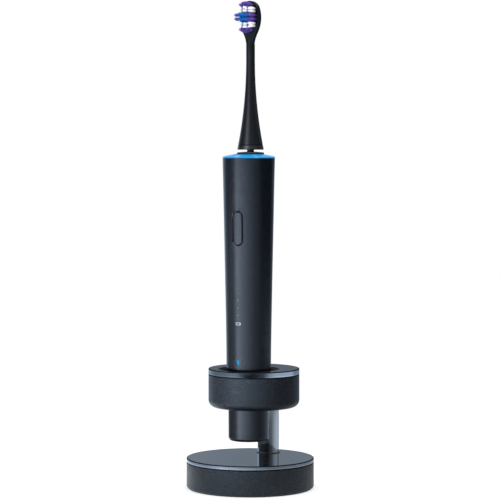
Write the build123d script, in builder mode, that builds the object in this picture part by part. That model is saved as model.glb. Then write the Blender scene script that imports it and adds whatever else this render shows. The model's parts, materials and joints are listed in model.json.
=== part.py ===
"""Electric toothbrush standing in a raised round charging cradle.

Millimetres. The origin is on the table under the centre of the round base, +Z is up and the front is -Y.
The post stands at the back of the base and holds the cradle. The brush drops through the cradle
until the shoulder of its handle rests on the ledge of the socket.
"""

import math
import os

from build123d import *

os.makedirs("parts", exist_ok=True)

# Where the upright axes stand, front to back
HANDLE_Y = -1.7
SHAFT_Y = 0.4
CRADLE_Y = 4.5
POST_Y = 22.0

# Base
FOOT_H = 0.4
FOOT_R = 34.6
FOOT_INNER_R = 28.9
BASE_R = 35.8
BASE_TOP_Z = 17.2
PLATE_T = 2.4
SEAM = 0.4
SEAM_DEPTH = 0.5
BASE_WALL_T = 2.2
BASE_WEB_T = 1.2
BASE_ROUND = 1.1
EDGE_ROUND = 0.45
LIP_R = 31.8
LIP_T = 1.8
LIP_SLOPE = 1.4
COVER_R = 31.6
COVER_T = 1.6
BALLAST_Z = 2.2
BALLAST_T = 3.5
BALLAST_R = 31.4
BALLAST_GAP = 0.3
BOSS_R = 3.0
BOSS_CIRCLE_R = 26.0
BOSS_ANGLES = (20, 160, 270)
BASE_SCREW_R = 1.1
BASE_SCREW_L = 7.0
BOARD_Z = 7.6
BOARD_T = 1.2
BOARD_W = 28.0
BOARD_L = 32.0
BOARD_Y = -4.0
BOARD_POST_R = 2.0
BOARD_SCREW_R = 0.8
BOARD_SCREW_L = 4.4
BOARD_SCREW_POINTS = ((-11, -16), (11, -16))

# On the charger board: (middle, radius, height) of the round components, then
# (middle, width, length, height) of the square ones
ROUND_COMPONENTS = (((6.5, -7), 4.5, 3.4), ((-7, -9), 3.0, 3.7))
SQUARE_COMPONENTS = (
    ((-4.5, 0.5), 5.0, 5.0, 1.0),
    ((3, 2.5), 3.2, 1.6, 0.9),
    ((8, 2.5), 3.2, 1.6, 0.9),
    ((3, 5.5), 3.2, 1.6, 0.9),
    ((0, -14), 3.2, 1.6, 0.9),
    ((0, 10), 5.0, 4.0, 2.2),
)

# Screws and fits
SCREW_HEAD = 2.1
SCREW_RECESS = 0.55
SCREW_RECESS_W = 0.25
SCREW_CLEARANCE = 0.3
HEAD_CLEARANCE = 0.2
FIT_GAP = 0.05
LOOSE_GAP = 0.1
RUNNING_CLEARANCE = 0.06

# Power inlet, at the back beside the post
INLET_ANGLE = 135
INLET_Z = 8.6
INLET_ENTRY_R = 4.3
INLET_R = 3.9
INLET_FACE = 32.8
INLET_L = 11.5
INLET_BORE_R = 2.85
INLET_BORE_L = 9.0
INLET_PIN_R = 1.0
INLET_PIN_L = 6.2
INLET_BLOCK_W = 7.0
INLET_BLOCK_H = 4.2
INLET_BLOCK_L = 8.0
INLET_BLOCK_RISE = 2.2
INLET_BLOCK_BACK = 9.0
INLET_NOTCH_W = 9.2

# Post and the lead inside it
POST_R = 6.05
SPIGOT_R = 4.4
POST_BORE_R = 3.0
POST_LET_IN = 0.7
POST_TIP_Z = 53.0
COLLAR_R = 6.75
COLLAR_T = 0.5
NUT_T = 1.8
BASE_NUT_R = 8.0
CRADLE_NUT_R = 6.1
LEAD_R = 1.1
LEAD_BEND = 3.6
LEAD_Z = 9.9
LEAD_TOP_Z = 56.6
LEAD_END_GAP = 0.3

# Cradle
CRADLE_R = 25.6
CRADLE_BOTTOM_Z = 45.3
CRADLE_TOP_Z = 67.1
CRADLE_RING_T = 3.3
CRADLE_WALL_T = 2.0
CRADLE_ROUND = 4.0
RECESS_R = 17.0
RECESS_LIP = 0.8
RECESS_DROP = 0.25
RECESS_RIM_H = 1.6
SOCKET_R = 12.82
SOCKET_WALL_T = 1.3
FUNNEL_Z = 60.5
FUNNEL_OUTSIDE_Z = 60.0
LEDGE_Z = 54.9
LEDGE_R = 11.7
SLEEVE_R = 12.4
SLEEVE_BOTTOM_Z = 44.9
COIL_Z = 48.9
COIL_H = 4.0
COIL_R = 14.7
COIL_BORE_R = 12.8
FORMER_R = 14.9
FORMER_T = 0.5
SHIELD_R = 16.6
SHIELD_BORE_R = 14.3
SHIELD_T = 1.1
CRADLE_POST_R = 2.4
CRADLE_SCREW_R = 0.9
CRADLE_SCREW_L = 8.0
CRADLE_SCREW_DROP = 0.2
CRADLE_SCREW_POINTS = ((-15, 13.5), (15, 13.5))

# Handle
CAP_BOTTOM_Z = 27.1
CAP_SEAM_Z = 30.9
CAP_PLUG_Z = 40.0
CAP_PLUG_R = 9.5
CAP_PLUG_T = 2.2
CAP_GROOVE_Z = 34.0
CAP_GROOVE_H = 1.3
CAP_GROOVE_D = 1.0
CAP_SEAL_R = 0.48
CAP_ROUND = 1.6
CAP_SLOT_L = 12.0
CAP_SLOT_W = 1.8
CAP_SLOT_D = 1.0
SKIRT_BOTTOM_R = 11.3
SKIRT_TOP_R = 11.45
SKIRT_BORE_R = 9.7
SHOULDER_Z = 55.0
GRIP_R = 12.5
STRAIGHT_Z = 72.0
TAPER_Z = 86.0
HANDLE_TOP_R = 14.62
HANDLE_TOP_Z = 185.1
HANDLE_WALL_T = 1.5
CAVITY_Z = 57.2

# Light ring and seal on top of the handle
RING_SIDE_H = 1.0
RING_ROUND = 0.5
RING_DOME_Z = 188.0
RING_DOME_MID_R = 8.6
RING_DOME_MID_Z = 187.35
RING_SPIGOT_R = 12.95
RING_SPIGOT_INNER_R = 12.05
RING_SPIGOT_Z = 183.6
RING_HOLE_R = 6.3
SEAL_R = 7.55
SEAL_SEAT_Z = 187.2
SEAL_EDGE_Z = 188.4
SEAL_CROWN_Z = 188.8
SEAL_STEM_R = 6.2
SEAL_STEM_Z = 184.6
SEAL_LIP_R = 2.85
SEAL_ROUND = 0.3

# Button
BUTTON_Z = 146.3
BUTTON_H = 18.5
BUTTON_W = 5.7
BUTTON_GAP = 0.25
BUTTON_OPENING_BEVEL = 0.45
BUTTON_INSET = 0.15
BUTTON_BEVEL = 0.4
BUTTON_BACK_Y = -12.6
BUTTON_FLANGE_T = 0.8
BUTTON_FLANGE_W = 0.8

# Indicator windows in the front of the handle
LENS_GAP = 0.05
STATUS_Z = 71.8
STATUS_H = 2.5
STATUS_W = 1.1
CHARGE_Z = 93.4
CHARGE_H = 2.2
CHARGE_W = 3.8
CHARGE_ROUND = 0.7
MODE_LOW_Z = 98.2
MODE_STEP = 4.2
MODE_COUNT = 4
MODE_R = 0.55

# Inside the handle
FRAME_R = 8.4
FRAME_BORE_R = 7.7
FRAME_FRONT_Y = -2.6
FRAME_BOTTOM_Z = 58.0
FRAME_DIVIDER_Z = 114.0
FRAME_TOP_Z = 174.2
BULKHEAD_T = 2.6
RAIL_X = 6.9
RAIL_T = 1.4
CIRCUIT_BACK_Y = -8.2
CIRCUIT_T = 1.0
CIRCUIT_W = 13.4
CIRCUIT_BOTTOM_Z = 62.0
CIRCUIT_TOP_Z = 160.0
SWITCH_W = 4.5
SWITCH_T = 2.0
PLUNGER_R = 0.9
PLUNGER_OUT = 0.6
LAMP_W = 1.6
LAMP_T = 0.8
CELL_R = 7.0
CELL_Z = 62.0
CELL_L = 48.8
CELL_ROUND = 0.5
CELL_TIP_R = 2.6
CELL_TIP_L = 1.2
PICKUP_Z = 46.5
PICKUP_H = 6.5
PICKUP_R = 9.0
PICKUP_CORE_R = 5.7
PICKUP_STEM_R = 3.0
PICKUP_FLANGE_T = 1.0
RING_BOARD_Z = 180.6
RING_BOARD_T = 1.2
RING_BOARD_R = 12.2
RING_BOARD_HOLE_R = 5.2
RING_LAMP_COUNT = 8
RING_LAMP_CIRCLE_R = 10.4

# Motor
MOTOR_R = 7.5
MOTOR_Z = 122.0
MOTOR_L = 50.0
MOTOR_WALL_T = 0.6
MOTOR_CAP_T = 2.0
BUSH_R = 3.4
BUSH_L = 5.0
UPPER_BUSH_Z = 171.0
LOWER_BUSH_Z = 120.0
SHAFT_R = 1.95
SHAFT_TIP_BEVEL = 0.4
SHAFT_BOTTOM_Z = 118.4
SHAFT_TOP_Z = 212.0
SHAFT_FLAT_Z = 194.5
SHAFT_FLAT_DEPTH = 0.5
YOKE_R = 2.9
YOKE_Z = 134.0
YOKE_L = 26.0
MAGNET_R = 4.4
MAGNET_Z = 136.0
MAGNET_L = 22.0
MAGNET_SLIT = 0.8
WINDING_R = 5.9
WINDING_INNER_R = 4.9
WINDING_Z = 133.0
WINDING_L = 28.0
WINDING_SLIT = 2.4
STATOR_R = 6.8
STATOR_INNER_R = 6.0
STATOR_Z = 132.0
STATOR_L = 30.0

# Brush head
STEM_RING_Z = 189.9
STEM_Z = 192.7
STEM_SEAM = 0.15
STEM_SEAM_DEPTH = 0.35
STEM_RING_ROUND = 0.35
STEM_MOUTH_Z = 199.7
FLARE_R = 7.45
NECK_R = 2.45
NECK_Z = 240.0
NECK_TOP_Z = 247.5
NECK_TIP_R = 0.9
NECK_TIP_Z = 254.6
STEM_RING_BORE_R = 5.2
INSERT_R = 2.8
INSERT_Z = 194.0
INSERT_TOP_Z = 212.6
INSERT_BORE_TOP_Z = 212.2
INSERT_KEY_Z = 196.5
INSERT_KEY_R = 2.6
INSERT_KEY_GAP = 0.08
HEAD_Z = 263.4
HEAD_A = 6.2
HEAD_B = 9.3
HEAD_END_R = 5.6
HEAD_FOOT_Z = 247.6
HEAD_FOOT_R = 2.0
HEAD_FRONT = 1.8
HEAD_BACK = 2.4
HEAD_BACK_ROUND = 1.7
HEAD_FRONT_ROUND = 0.6
POCKET_RIM = 1.0
POCKET_DEPTH = 0.8
SLICE_GAP = 0.1

# Bristles: tufts as (across, up) from the middle of the head
STRAND_W = 0.22
TUFT_RINGS = ((0.26, 4), (0.66, 10))
END_TUFTS = ((-1.95, 6.75), (0, 7.2), (1.95, 6.75))
WHITE_TUFTS = ((-2.4, 5.1), (0, 5.35), (2.4, 5.1), (-3.7, 3.3), (-1.25, 3.45), (1.25, 3.45), (3.7, 3.3))
SIDE_TUFTS = ((4.15, 1.2), (4.15, -1.2))
MIDDLE_TUFTS = ((-1.2, 1.2), (1.2, 1.2), (-1.2, -1.2), (1.2, -1.2))
END_ZONE = 6.0
MIDDLE_ZONE = 2.35
SIDE_ZONE = 2.8
END_LENGTH = 6.2
WHITE_LENGTH = 5.6
SIDE_LENGTH = 8.6
MIDDLE_LENGTH = 8.4

# Values that follow from the sizes above
WALL_TOP_Z = BASE_TOP_Z - PLATE_T - SEAM
WEB_Z = WALL_TOP_Z - BASE_WEB_T
COVER_TOP_Z = FOOT_H + COVER_T
BASE_BORE_R = BASE_R - BASE_WALL_T
BOARD_TOP_Z = BOARD_Z + BOARD_T
INLET_BACK = INLET_FACE - INLET_L
INLET_BORE_BACK = INLET_FACE - INLET_BORE_L
SHELL_TOP_Z = CRADLE_TOP_Z - CRADLE_RING_T - SEAM
CRADLE_FLOOR_Z = CRADLE_BOTTOM_Z + CRADLE_WALL_T
CRADLE_BORE_R = CRADLE_R - CRADLE_WALL_T
CRADLE_BORE_ROUND = CRADLE_ROUND - CRADLE_WALL_T
SOCKET_OUTER_R = SOCKET_R + SOCKET_WALL_T
RECESS_RIM_Z = CRADLE_TOP_Z - RECESS_DROP
COIL_TOP_Z = COIL_Z + COIL_H
RING_EDGE_Z = HANDLE_TOP_Z + RING_SIDE_H
LENS_BACK_Y = HANDLE_Y - GRIP_R + HANDLE_WALL_T
CIRCUIT_FRONT_Y = CIRCUIT_BACK_Y - CIRCUIT_T
CIRCUIT_MID_Z = (CIRCUIT_TOP_Z + CIRCUIT_BOTTOM_Z) / 2
SWITCH_FRONT_Y = CIRCUIT_FRONT_Y - SWITCH_T
FRAME_L = FRAME_TOP_Z + BULKHEAD_T - FRAME_BOTTOM_Z
RAIL_DEPTH = FRAME_FRONT_Y - CIRCUIT_BACK_Y
MOTOR_TOP_Z = MOTOR_Z + MOTOR_L
STEM_RING_TOP_Z = STEM_Z - STEM_SEAM
FACE_Y = SHAFT_Y - HEAD_FRONT
MODE_POINTS = [(0, MODE_LOW_Z + MODE_STEP * i) for i in range(MODE_COUNT)]
LAMP_POINTS = [(0, STATUS_Z), (0, CHARGE_Z), *MODE_POINTS]
BOSS_POINTS = [
    (BOSS_CIRCLE_R * math.cos(math.radians(a)), BOSS_CIRCLE_R * math.sin(math.radians(a)))
    for a in BOSS_ANGLES
]
INLET_DIRECTION = (math.cos(math.radians(INLET_ANGLE)), math.sin(math.radians(INLET_ANGLE)), 0)

# Level planes centred on each upright axis, and the upright planes of their half sections
HANDLE_XY = Plane((0, HANDLE_Y, 0))
SHAFT_XY = Plane((0, SHAFT_Y, 0))
CRADLE_XY = Plane((0, CRADLE_Y, 0))
POST_XY = Plane((0, POST_Y, 0))
HANDLE_XZ = Plane.XZ.offset(-HANDLE_Y)
SHAFT_XZ = Plane.XZ.offset(-SHAFT_Y)
CRADLE_XZ = Plane.XZ.offset(-CRADLE_Y)
POST_XZ = Plane.XZ.offset(-POST_Y)
HANDLE_AXIS = Axis((0, HANDLE_Y, 0), (0, 0, 1))
SHAFT_AXIS = Axis((0, SHAFT_Y, 0), (0, 0, 1))
CRADLE_AXIS = Axis((0, CRADLE_Y, 0), (0, 0, 1))
POST_AXIS = Axis((0, POST_Y, 0), (0, 0, 1))
INLET_PLANE = Plane((0, 0, INLET_Z), x_dir=(0, 0, 1), z_dir=INLET_DIRECTION)


def front_plane(y, z=0.0):
    """Upright plane facing the front, with its middle at height z."""
    return Plane((0, y, z), x_dir=(1, 0, 0), z_dir=(0, -1, 0))


def ring(plane, outer, inner=0.0, centres=((0, 0),)):
    """Discs, or rings where an inner radius is given, round the centres."""
    with BuildSketch(plane) as sketch:
        with Locations(*centres):
            Circle(outer)
            if inner:
                Circle(inner, mode=Mode.SUBTRACT)
    return sketch.sketch


def block(plane, width, height, centres=((0, 0),)):
    """Rectangles round the centres."""
    with BuildSketch(plane) as sketch:
        with Locations(*centres):
            Rectangle(width, height)
    return sketch.sketch


def pill(plane, height, width):
    """Upright pill outline."""
    with BuildSketch(plane) as sketch:
        SlotOverall(height, width, rotation=90)
    return sketch.sketch


def window(plane, gap=0.0):
    """Outline of the charge window, let out by the gap."""
    with BuildSketch(plane) as sketch:
        RectangleRounded(CHARGE_W + 2 * gap, CHARGE_H + 2 * gap, CHARGE_ROUND + gap)
    return sketch.sketch


def half_section(plane, *points):
    """Closed half section of a turned piece, as (radius, height) points."""
    with BuildSketch(plane) as sketch:
        with BuildLine():
            Polyline(*points, close=True)
        make_face()
    return sketch.sketch


def cut(sketch, depth):
    """Take the sketch out of the open piece, to the depth."""
    extrude(sketch, amount=depth, mode=Mode.SUBTRACT)


def edges_at(piece, z):
    """The level edges of the piece at height z."""
    return piece.edges().filter_by_position(Axis.Z, z - FIT_GAP / 2, z + FIT_GAP / 2)


def screws(head_z, centres, shank_r, length):
    """Screws that point up, with a cross recess in each head."""
    head = Plane.XY.offset(head_z)
    head_r = SCREW_HEAD * shank_r
    recess_l = 2 * SCREW_RECESS * head_r
    recess_w = SCREW_RECESS_W * head_r
    with BuildPart() as screw:
        extrude(ring(head, head_r, centres=centres), amount=shank_r)
        extrude(ring(head.offset(shank_r), shank_r, centres=centres), amount=length)
        cut(block(head, recess_l, recess_w, centres), SCREW_RECESS * shank_r)
        cut(block(head, recess_w, recess_l, centres), SCREW_RECESS * shank_r)
    return screw


def grip_curve(inset=0.0):
    """The slow taper of the grip, drawn in by the inset."""
    return Bezier(
        (HANDLE_TOP_R - inset, HANDLE_TOP_Z),
        (GRIP_R - inset, TAPER_Z),
        (GRIP_R - inset, STRAIGHT_Z),
    )


def handle_body(inset=0.0):
    """Half section of the grip as a full solid, drawn in by the inset."""
    with BuildSketch(HANDLE_XZ) as sketch:
        with BuildLine():
            Polyline(
                (GRIP_R - inset, STRAIGHT_Z),
                (GRIP_R - inset, SHOULDER_Z),
                (0, SHOULDER_Z),
                (0, HANDLE_TOP_Z),
                (HANDLE_TOP_R - inset, HANDLE_TOP_Z),
            )
            grip_curve(inset)
        make_face()
    return sketch.sketch


def flare_radius(z):
    """Outside radius of the stem, an arc that runs into the straight neck."""
    drop = NECK_Z - STEM_RING_Z
    spread = FLARE_R - NECK_R
    arc_r = (drop**2 + spread**2) / (2 * spread)
    return NECK_R + arc_r - math.sqrt(arc_r**2 - (NECK_Z - z) ** 2)


def flare_curve(low_z, high_z):
    """The arc of the stem's side between two heights."""
    heights = (low_z, (low_z + high_z) / 2, high_z)
    return ThreePointArc(*[(flare_radius(z), z) for z in heights])


def head_outline(plane, rim=0.0, foot=False):
    """Oval of tangent arcs, drawn in by the rim, or run down into the neck by its foot."""
    a = HEAD_A - rim
    b = HEAD_B - rim
    end_r = HEAD_END_R - rim
    end_c = b - end_r
    side_r = (end_c**2 + a**2 - end_r**2) / (2 * (a - end_r))
    side_c = side_r - a
    reach = math.hypot(side_c, end_c)
    x = end_r * side_c / reach
    z = end_c + end_r * end_c / reach
    foot_z = HEAD_FOOT_Z - HEAD_Z
    with BuildSketch(plane) as sketch:
        with BuildLine():
            ThreePointArc((x, -z), (a, 0), (x, z))
            ThreePointArc((x, z), (0, b), (-x, z))
            ThreePointArc((-x, z), (-a, 0), (-x, -z))
            if foot:
                Spline((-x, -z), (-HEAD_FOOT_R, foot_z), tangents=((z, -x - side_c), (0, -1)))
                Line((-HEAD_FOOT_R, foot_z), (HEAD_FOOT_R, foot_z))
                Spline((HEAD_FOOT_R, foot_z), (x, -z), tangents=((0, 1), (z, x + side_c)))
            else:
                ThreePointArc((-x, -z), (0, -b), (x, -z))
        make_face()
    return sketch.sketch


def strands(tufts):
    """Square ends of all strands of the tufts, on the face of the head."""
    centres = [
        (x + r * math.cos(2 * math.pi * i / count), z + r * math.sin(2 * math.pi * i / count))
        for x, z in tufts
        for r, count in TUFT_RINGS
        for i in range(count)
    ]
    return block(front_plane(FACE_Y, HEAD_Z), STRAND_W, STRAND_W, centres)


def mirrored(tufts, across=1, up=1):
    """The tufts turned over to the other side of the head."""
    return [(across * x, up * z) for x, z in tufts]


def bristles(zone_x, zone_z, tufts, length):
    """Slice of the pocket between the zone's sides and ends, with the strands of its tufts."""
    width = zone_x[1] - zone_x[0] - SLICE_GAP
    height = zone_z[1] - zone_z[0] - SLICE_GAP
    centre = (sum(zone_x) / 2, sum(zone_z) / 2)
    pocket = front_plane(FACE_Y + POCKET_DEPTH, HEAD_Z)
    with BuildPart() as tuft:
        extrude(head_outline(pocket, POCKET_RIM + SLICE_GAP / 2), amount=POCKET_DEPTH)
        extrude(block(pocket, width, height, (centre,)), amount=POCKET_DEPTH, mode=Mode.INTERSECT)
        extrude(strands(tufts), amount=length)
    return tuft


# Base

with BuildPart() as foot_pad:
    extrude(ring(Plane.XY, FOOT_R, FOOT_INNER_R), amount=FOOT_H)

with BuildPart() as base_cover:
    cover_plane = Plane.XY.offset(FOOT_H)
    extrude(ring(cover_plane, COVER_R), amount=COVER_T)
    cut(ring(cover_plane, BASE_SCREW_R + SCREW_CLEARANCE, centres=BOSS_POINTS), COVER_T)
    cut(ring(cover_plane, SCREW_HEAD * BASE_SCREW_R + HEAD_CLEARANCE, centres=BOSS_POINTS), BASE_SCREW_R)

base_screws = screws(FOOT_H, BOSS_POINTS, BASE_SCREW_R, BASE_SCREW_L)

with BuildPart() as base_wall:
    with BuildSketch(Plane.XZ):
        with BuildLine():
            Polyline(
                (BASE_R - BASE_ROUND, FOOT_H),
                (LIP_R, FOOT_H),
                (LIP_R, FOOT_H + LIP_T),
                (BASE_BORE_R, FOOT_H + LIP_T + LIP_SLOPE),
                (BASE_BORE_R, WEB_Z),
                (0, WEB_Z),
                (0, WALL_TOP_Z),
                (BASE_R, WALL_TOP_Z),
                (BASE_R, FOOT_H + BASE_ROUND),
            )
            RadiusArc((BASE_R, FOOT_H + BASE_ROUND), (BASE_R - BASE_ROUND, FOOT_H), BASE_ROUND)
        make_face()
    revolve(axis=Axis.Z)
    boss_plane = Plane.XY.offset(COVER_TOP_Z)
    post_plane = Plane.XY.offset(BOARD_TOP_Z)
    extrude(ring(boss_plane, BOSS_R, centres=BOSS_POINTS), until=Until.NEXT)
    extrude(ring(post_plane, BOARD_POST_R, centres=BOARD_SCREW_POINTS), until=Until.NEXT)
    cut(ring(boss_plane, BASE_SCREW_R + FIT_GAP, centres=BOSS_POINTS), BASE_SCREW_L)
    cut(ring(post_plane, BOARD_SCREW_R + FIT_GAP, centres=BOARD_SCREW_POINTS), BOARD_SCREW_L)
    cut(ring(POST_XY.offset(WEB_Z), SPIGOT_R + LOOSE_GAP), BASE_WEB_T)
    cut(ring(INLET_PLANE.offset(BASE_BORE_R - BASE_WALL_T), INLET_ENTRY_R), 3 * BASE_WALL_T)

with BuildPart() as base_top_plate:
    extrude(ring(Plane.XY.offset(BASE_TOP_Z - PLATE_T), BASE_R), amount=PLATE_T)
    fillet(edges_at(base_top_plate, BASE_TOP_Z), radius=EDGE_ROUND)
    extrude(ring(Plane.XY.offset(WALL_TOP_Z), BASE_R - SEAM_DEPTH), amount=SEAM)
    cut(ring(POST_XY.offset(WALL_TOP_Z), SPIGOT_R + LOOSE_GAP), PLATE_T + SEAM)

with BuildPart() as ballast_disc:
    extrude(ring(Plane.XY.offset(BALLAST_Z), BALLAST_R), amount=BALLAST_T)
    cut(ring(Plane.XY.offset(BALLAST_Z), BOSS_R + BALLAST_GAP, centres=BOSS_POINTS), BALLAST_T)
    cut(block(INLET_PLANE.offset(INLET_BACK - BALLAST_GAP), 2 * INLET_Z, INLET_NOTCH_W), INLET_FACE)

with BuildPart() as charger_board:
    extrude(block(Plane((0, BOARD_Y, BOARD_Z)), BOARD_W, BOARD_L), amount=BOARD_T)
    cut(ring(Plane.XY.offset(BOARD_Z), BOARD_SCREW_R + HEAD_CLEARANCE, centres=BOARD_SCREW_POINTS), BOARD_T)

board_screws = screws(BOARD_Z - BOARD_SCREW_R, BOARD_SCREW_POINTS, BOARD_SCREW_R, BOARD_SCREW_L)

with BuildPart() as board_components:
    component_plane = Plane.XY.offset(BOARD_TOP_Z)
    for middle, radius, height in ROUND_COMPONENTS:
        extrude(ring(component_plane, radius, centres=(middle,)), amount=height)
    for middle, width, length, height in SQUARE_COMPONENTS:
        extrude(block(component_plane, width, length, (middle,)), amount=height)

with BuildPart() as inlet_socket:
    extrude(ring(INLET_PLANE.offset(INLET_BACK), INLET_R), amount=INLET_L)
    extrude(
        block(
            INLET_PLANE.offset(INLET_FACE - INLET_BLOCK_BACK),
            INLET_BLOCK_H,
            INLET_BLOCK_W,
            ((INLET_BLOCK_RISE, 0),),
        ),
        amount=INLET_BLOCK_L,
    )
    cut(ring(INLET_PLANE.offset(INLET_BORE_BACK), INLET_BORE_R), INLET_BORE_L)

with BuildPart() as inlet_pin:
    extrude(ring(INLET_PLANE.offset(INLET_BORE_BACK), INLET_PIN_R), amount=INLET_PIN_L)
    pin_tip = inlet_pin.faces().sort_by(Axis(INLET_PLANE.origin, INLET_PLANE.z_dir))[-1]
    fillet(pin_tip.edges(), radius=INLET_PIN_R / 2)

# Post

with BuildPart() as post:
    revolve(
        half_section(
            POST_XZ,
            (POST_BORE_R, WEB_Z - NUT_T),
            (SPIGOT_R, WEB_Z - NUT_T),
            (SPIGOT_R, BASE_TOP_Z),
            (POST_R, BASE_TOP_Z),
            (POST_R, CRADLE_BOTTOM_Z + POST_LET_IN),
            (SPIGOT_R, CRADLE_BOTTOM_Z + POST_LET_IN),
            (SPIGOT_R, POST_TIP_Z),
            (POST_BORE_R, POST_TIP_Z),
        ),
        axis=POST_AXIS,
    )

with BuildPart() as post_collar:
    extrude(ring(POST_XY.offset(BASE_TOP_Z), COLLAR_R, POST_R + FIT_GAP), amount=COLLAR_T)
    fillet(edges_at(post_collar, BASE_TOP_Z + COLLAR_T).sort_by(SortBy.RADIUS)[-1], radius=COLLAR_T / 2)

with BuildPart() as post_nuts:
    for nut_z, nut_r in ((WEB_Z - NUT_T, BASE_NUT_R), (CRADLE_FLOOR_Z, CRADLE_NUT_R)):
        with BuildSketch(POST_XY.offset(nut_z)):
            RegularPolygon(nut_r, 6)
            Circle(SPIGOT_R + FIT_GAP, mode=Mode.SUBTRACT)
        extrude(amount=NUT_T)

with BuildPart() as coil_lead:
    with BuildLine() as route:
        FilletPolyline(
            (0, BOARD_Y + BOARD_L / 2, LEAD_Z),
            (0, POST_Y, LEAD_Z),
            (0, POST_Y, LEAD_TOP_Z),
            (0, HANDLE_Y + SOCKET_OUTER_R + LEAD_END_GAP, LEAD_TOP_Z),
            radius=LEAD_BEND,
        )
    with BuildSketch(Plane(route.line @ 0, z_dir=route.line % 0)):
        Circle(LEAD_R)
    sweep()

# Cradle

with BuildPart() as cradle_shell:
    floor_plane = Plane.XY.offset(CRADLE_BOTTOM_Z)
    head_r = SCREW_HEAD * CRADLE_SCREW_R
    extrude(ring(CRADLE_XY.offset(CRADLE_BOTTOM_Z), CRADLE_R), amount=SHELL_TOP_Z - CRADLE_BOTTOM_Z)
    fillet(edges_at(cradle_shell, CRADLE_BOTTOM_Z), radius=CRADLE_ROUND)
    with BuildSketch(CRADLE_XZ):
        with BuildLine():
            Polyline(
                (CRADLE_BORE_R, CRADLE_FLOOR_Z + CRADLE_BORE_ROUND),
                (CRADLE_BORE_R, SHELL_TOP_Z),
                (0, SHELL_TOP_Z),
                (0, CRADLE_FLOOR_Z),
                (CRADLE_BORE_R - CRADLE_BORE_ROUND, CRADLE_FLOOR_Z),
            )
            RadiusArc(
                (CRADLE_BORE_R, CRADLE_FLOOR_Z + CRADLE_BORE_ROUND),
                (CRADLE_BORE_R - CRADLE_BORE_ROUND, CRADLE_FLOOR_Z),
                CRADLE_BORE_ROUND,
            )
        make_face()
    revolve(axis=CRADLE_AXIS, mode=Mode.SUBTRACT)
    cut(ring(HANDLE_XY.offset(CRADLE_BOTTOM_Z), SLEEVE_R + LOOSE_GAP), CRADLE_WALL_T)
    cut(ring(POST_XY.offset(CRADLE_BOTTOM_Z), POST_R + FIT_GAP), POST_LET_IN)
    cut(ring(POST_XY.offset(CRADLE_BOTTOM_Z), SPIGOT_R + LOOSE_GAP), CRADLE_WALL_T)
    cut(ring(POST_XY.offset(CRADLE_FLOOR_Z), CRADLE_NUT_R + HEAD_CLEARANCE), CRADLE_ROUND)
    cut(ring(floor_plane, CRADLE_SCREW_R + HEAD_CLEARANCE, centres=CRADLE_SCREW_POINTS), CRADLE_WALL_T)
    cut(
        ring(floor_plane, head_r + HEAD_CLEARANCE, centres=CRADLE_SCREW_POINTS),
        CRADLE_SCREW_DROP + CRADLE_SCREW_R,
    )

cradle_screws = screws(
    CRADLE_BOTTOM_Z + CRADLE_SCREW_DROP, CRADLE_SCREW_POINTS, CRADLE_SCREW_R, CRADLE_SCREW_L
)

with BuildPart() as cradle_top_ring:
    post_plane = Plane.XY.offset(CRADLE_FLOOR_Z)
    extrude(ring(CRADLE_XY.offset(CRADLE_TOP_Z - CRADLE_RING_T), CRADLE_R), amount=CRADLE_RING_T)
    fillet(edges_at(cradle_top_ring, CRADLE_TOP_Z), radius=EDGE_ROUND)
    extrude(ring(CRADLE_XY.offset(SHELL_TOP_Z), CRADLE_R - SEAM_DEPTH), amount=SEAM)
    extrude(
        ring(post_plane, CRADLE_POST_R, centres=CRADLE_SCREW_POINTS), amount=SHELL_TOP_Z - CRADLE_FLOOR_Z
    )
    cut(ring(HANDLE_XY.offset(SHELL_TOP_Z), RECESS_R + FIT_GAP), CRADLE_RING_T + SEAM)
    cut(ring(post_plane, CRADLE_SCREW_R + FIT_GAP, centres=CRADLE_SCREW_POINTS), CRADLE_SCREW_L)

with BuildPart() as socket_liner:
    with BuildSketch(HANDLE_XZ):
        with BuildLine():
            Polyline(
                (SOCKET_R, FUNNEL_Z),
                (SOCKET_R, LEDGE_Z),
                (LEDGE_R, LEDGE_Z),
                (LEDGE_R, SLEEVE_BOTTOM_Z),
                (SLEEVE_R, SLEEVE_BOTTOM_Z),
                (SLEEVE_R, LEDGE_Z - SOCKET_WALL_T),
                (SOCKET_OUTER_R, LEDGE_Z - SOCKET_WALL_T),
                (SOCKET_OUTER_R, FUNNEL_OUTSIDE_Z),
            )
            TangentArc(
                (SOCKET_OUTER_R, FUNNEL_OUTSIDE_Z), (RECESS_R, RECESS_RIM_Z - RECESS_RIM_H), tangent=(0, 1)
            )
            Polyline(
                (RECESS_R, RECESS_RIM_Z - RECESS_RIM_H),
                (RECESS_R, RECESS_RIM_Z),
                (RECESS_R - RECESS_LIP, RECESS_RIM_Z),
            )
            TangentArc((SOCKET_R, FUNNEL_Z), (RECESS_R - RECESS_LIP, RECESS_RIM_Z), tangent=(0, 1))
        make_face()
    revolve(axis=HANDLE_AXIS)

with BuildPart() as coil_former:
    revolve(
        half_section(
            HANDLE_XZ,
            (SLEEVE_R + FIT_GAP, COIL_Z - FORMER_T),
            (FORMER_R, COIL_Z - FORMER_T),
            (FORMER_R, COIL_Z),
            (COIL_BORE_R, COIL_Z),
            (COIL_BORE_R, COIL_TOP_Z),
            (FORMER_R, COIL_TOP_Z),
            (FORMER_R, COIL_TOP_Z + FORMER_T),
            (SLEEVE_R + FIT_GAP, COIL_TOP_Z + FORMER_T),
        ),
        axis=HANDLE_AXIS,
    )

with BuildPart() as primary_coil:
    extrude(ring(HANDLE_XY.offset(COIL_Z), COIL_R, COIL_BORE_R), amount=COIL_H)

with BuildPart() as ferrite_ring:
    extrude(ring(HANDLE_XY.offset(COIL_TOP_Z + FORMER_T), SHIELD_R, SHIELD_BORE_R), amount=SHIELD_T)

# Handle shell and what closes it

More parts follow.
